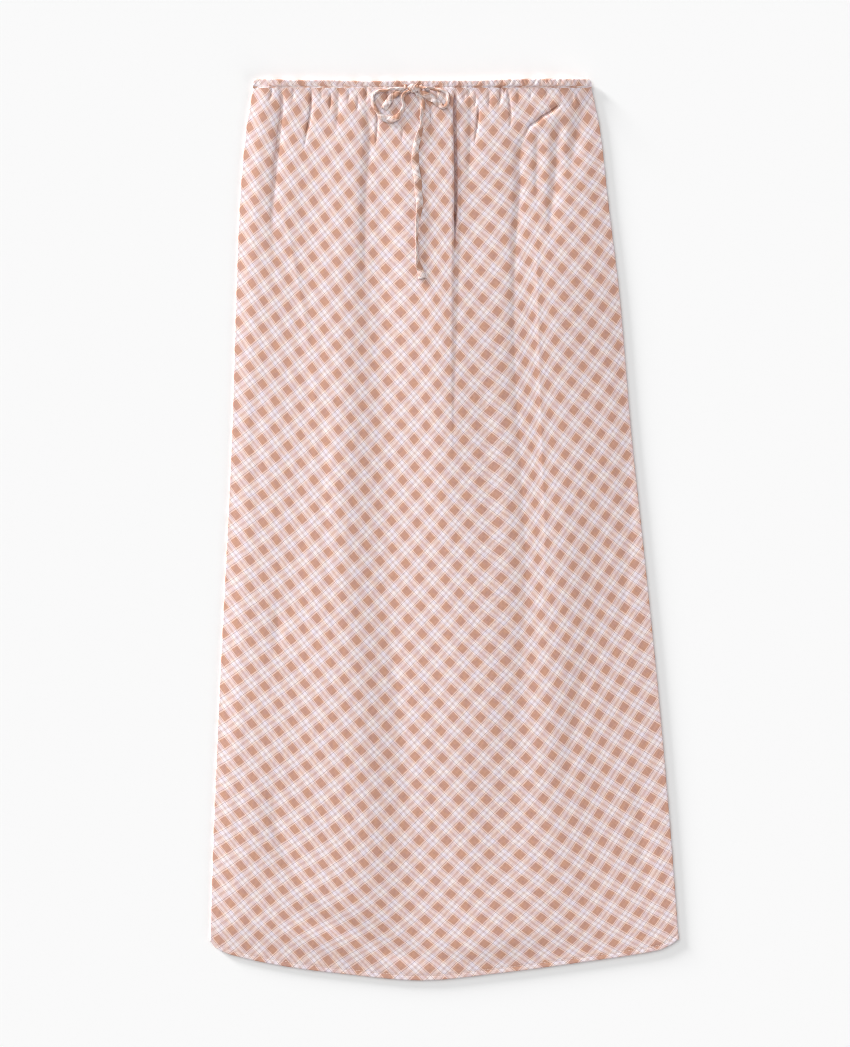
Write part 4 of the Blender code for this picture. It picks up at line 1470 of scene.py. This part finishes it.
@dataclass
class Topstitching:
    """Rows of lockstitch: each stitch is a short bead of thread that dips into the cloth at its ends."""

    drape: Drape
    casing: WaistCasing
    length: float = 2.3
    gap: float = 0.6
    # The thread is 0.3 mm thick, and drawn a little thicker so that it shows
    radius: float = 0.2
    sides: int = 6
    look_ahead: float = 0.6
    hem_lift: float = 0.12
    casing_lift: float = 0.2
    back_lift: float = 0.15
    sinks: float = 1.2
    line_down: float = 0.25
    from_ends: float = 4.0
    wobble: float = 0.35
    sway: float = 0.03
    hem_share: tuple[float, float] = (0.012, 0.988)
    hem_places: int = 500
    casing_places: int = 700

    def bead(self) -> tuple[Grid, list[tuple[int, ...]]]:
        """Makes one stitch along X.

        Returns:
            Its points and its faces.
        """
        # Each station's place along the stitch, how thick the thread is there and how far it rises
        stations = ((-0.5, 0.25, -0.3), (-0.36, 0.9, 0), (0, 1, 0.12), (0.36, 0.9, 0), (0.5, 0.25, -0.3))
        points = []
        for along, thick, lift in stations:
            for angle in (2 * math.pi * side / self.sides for side in range(self.sides)):
                aside, up = thick * math.cos(angle), thick * math.sin(angle) + lift
                points.append((along * self.length, self.radius * aside, self.radius * up))
        return np.array(points), grid_faces(len(stations), self.sides, closed=True, capped=True, flipped=True)

    def row(self, name: str, line: Grid, flip: bool, look: Material, slot: str) -> None:
        """Sews a row of stitches along a line on the cloth.

        Args:
            name: The piece's name.
            line: Points on the cloth, in order, in millimetres.
            flip: Whether the stitches lie on the underside.
            look: The thread's material.
            slot: Not used.
        """
        run = np.concatenate([[0.0], np.cumsum(np.linalg.norm(np.diff(line, axis=0), axis=1))])
        starts = np.arange(self.length, run[-1] - self.length, self.length + self.gap)
        bead, bead_faces = self.bead()
        points, faces = [], []
        for number, at in enumerate(starts):
            places = (at, at + self.look_ahead)
            centre, ahead = np.array([np.interp(places, run, line[:, k]) for k in range(3)]).T
            along = (ahead - centre) / np.linalg.norm(ahead - centre)
            aside = np.cross([0.0, 0.0, -1.0 if flip else 1.0], along)
            aside /= np.linalg.norm(aside)
            up = np.cross(along, aside)
            # No two stitches lie quite the same way
            along = along + aside * (self.sway * math.sin(3.7 * number))
            faces.extend(tuple(index + len(points) for index in face) for face in bead_faces)
            points.extend(centre + bead @ np.array([along, aside, up]))
        piece = add_piece(name, np.array(points), faces, look)
        log.info("%s: %d stitches", name, len(starts))

    def build(self, look: Material) -> None:
        """Sews the hems and the casings of front and back.

        Args:
            look: The thread's material.
        """
        drape, casing = self.drape, self.casing
        share = np.linspace(*self.hem_share, self.hem_places)
        x = mix(*drape.sides(drape.length), share)
        down = read(HEM, share) - drape.hem_depth
        for side in Side:
            line = drape.points(x, down, drape.outer_side(side, x, down) + self.hem_lift)
            self.row(f"{side.value}_hem_stitches", line, side is Side.BACK, look, f"{side.value}_cloth")
        left, right = drape.waist[0] + self.from_ends, drape.waist[1] - self.from_ends
        x = np.linspace(left, right, self.casing_places)
        down = casing.stitch_line + self.wobble * np.sin(0.61 * x) * np.sin(0.17 * x)
        height = casing.outer_height(x, down)
        for side in Side:
            if side is Side.FRONT:
                # The thread sinks between the gathers, and shows only where they are low
                sunk = self.sinks * read(RUCHES, (x - left) / (right - left))
                z = drape.casing_thickness + drape.seam_gap + height + self.casing_lift - sunk
            else:
                z = np.maximum(drape.casing_thickness - height + self.back_lift, 2 * self.radius)
            line = drape.points(x + casing.lean(x, down), down, z)
            line[:, 1] -= self.line_down
            self.row(f"{side.value}_casing_stitches", line, side is Side.BACK, look, "casing_cloth")


@dataclass
class Studio:
    """The surface that the skirt lies on, the soft lights over it and the camera straight above."""

    view_centre: tuple[float, float] = (-20.6, 6.3)
    view_height: float = 1107.7
    camera_height: float = 4.0
    floor_size: float = 12.0
    floor_drop: float = 0.3
    sky: float = 0.4
    lamp_distance: float = 3.0
    lamps: tuple[Lamp, ...] = (
        Lamp("low softbox", 140.0, 7.5, 10.0, 5.7),
        Lamp("high softbox", 138.0, 42.0, 46.0, 1.42),
        Lamp("reflector", -40.0, 15.0, 22.0, 1.05),
    )

    def camera(self) -> None:
        """Places a long lens straight above the skirt, which frames it as a catalogue picture does."""
        lens = bpy.data.cameras.new("catalogue camera")
        lens.sensor_fit = "VERTICAL"
        lens.sensor_height = 36.0
        lens.lens = lens.sensor_height * self.camera_height / (self.view_height * MM)
        camera = place_object("catalogue camera", lens)
        camera.location = (self.view_centre[0] * MM, self.view_centre[1] * MM, self.camera_height)
        bpy.context.scene.camera = camera

    def floor(self) -> None:
        """Lays the paper under the skirt."""
        half = self.floor_size / 2
        mesh = bpy.data.meshes.new("studio_floor")
        corners = [(-half, -half, 0), (half, -half, 0), (half, half, 0), (-half, half, 0)]
        mesh.from_pydata(corners, [], [(0, 1, 2, 3)])
        mesh.materials.append(StudioPaper().material())
        floor = place_object("studio_floor", mesh)
        floor.location.z = -self.floor_drop * MM

    def hang(self, lamp: Lamp) -> None:
        """Hangs a light so far off that it lights the whole floor evenly.

        Args:
            lamp: The light.
        """
        sun = bpy.data.lights.new(lamp.name, "SUN")
        sun.angle = math.radians(lamp.width)
        sun.energy = lamp.strength
        hung = place_object(lamp.name, sun)
        towards = direction(math.radians(lamp.azimuth), math.radians(lamp.elevation))
        hung.location = towards * self.lamp_distance
        hung.rotation_euler = towards.to_track_quat("Z", "Y").to_euler()

    def build(self) -> None:
        """Sets up the camera, the floor, the lights and how the picture is taken."""
        self.camera()
        self.floor()
        for lamp in self.lamps:
            self.hang(lamp)
        world = bpy.data.worlds.new("white studio")
        world.use_nodes = True
        sky = world.node_tree.nodes["Background"]
        sky.inputs["Color"].default_value = linear("#FFFFFF")
        sky.inputs["Strength"].default_value = self.sky
        scene = bpy.context.scene
        scene.world = world
        scene.view_settings.view_transform = "Standard"
        # The check's thin lines stay sharp only where the denoiser takes the colours as they are
        scene.cycles.denoising_prefilter = "NONE"
        scene.cycles.filter_width = 1.0


def main() -> None:
    """Builds the skirt's pieces in order, and the studio round them."""
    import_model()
    drape = Drape()
    cloth = CheckedViscose("checked viscose").material()
    # The tie's cloth has painted shade: its tone paints it darker than the skirt's cloth
    tie_cloth = CheckedViscose(
        "tie checked viscose with painted shade", roughness=0.72, sheen=0.08, tone=0.88, warm="#FFF7F0", cool="#F6F0EE"
    ).material()
    thread = SewingThread().material()
    Studio().build()
    casing = WaistCasing(Side.FRONT, drape)
    BowTie(drape).build(tie_cloth)
    SkirtPanel(Side.BACK, drape, 150, BACK_ROWS, crowd=4.0).build(cloth)
    SkirtPanel(Side.FRONT, drape, 400, FRONT_ROWS).build(cloth)
    WaistCasing(Side.BACK, drape).build(cloth)
    casing.build(cloth)
    Topstitching(drape, casing).build(thread)


if __name__ == "__main__":
    main()
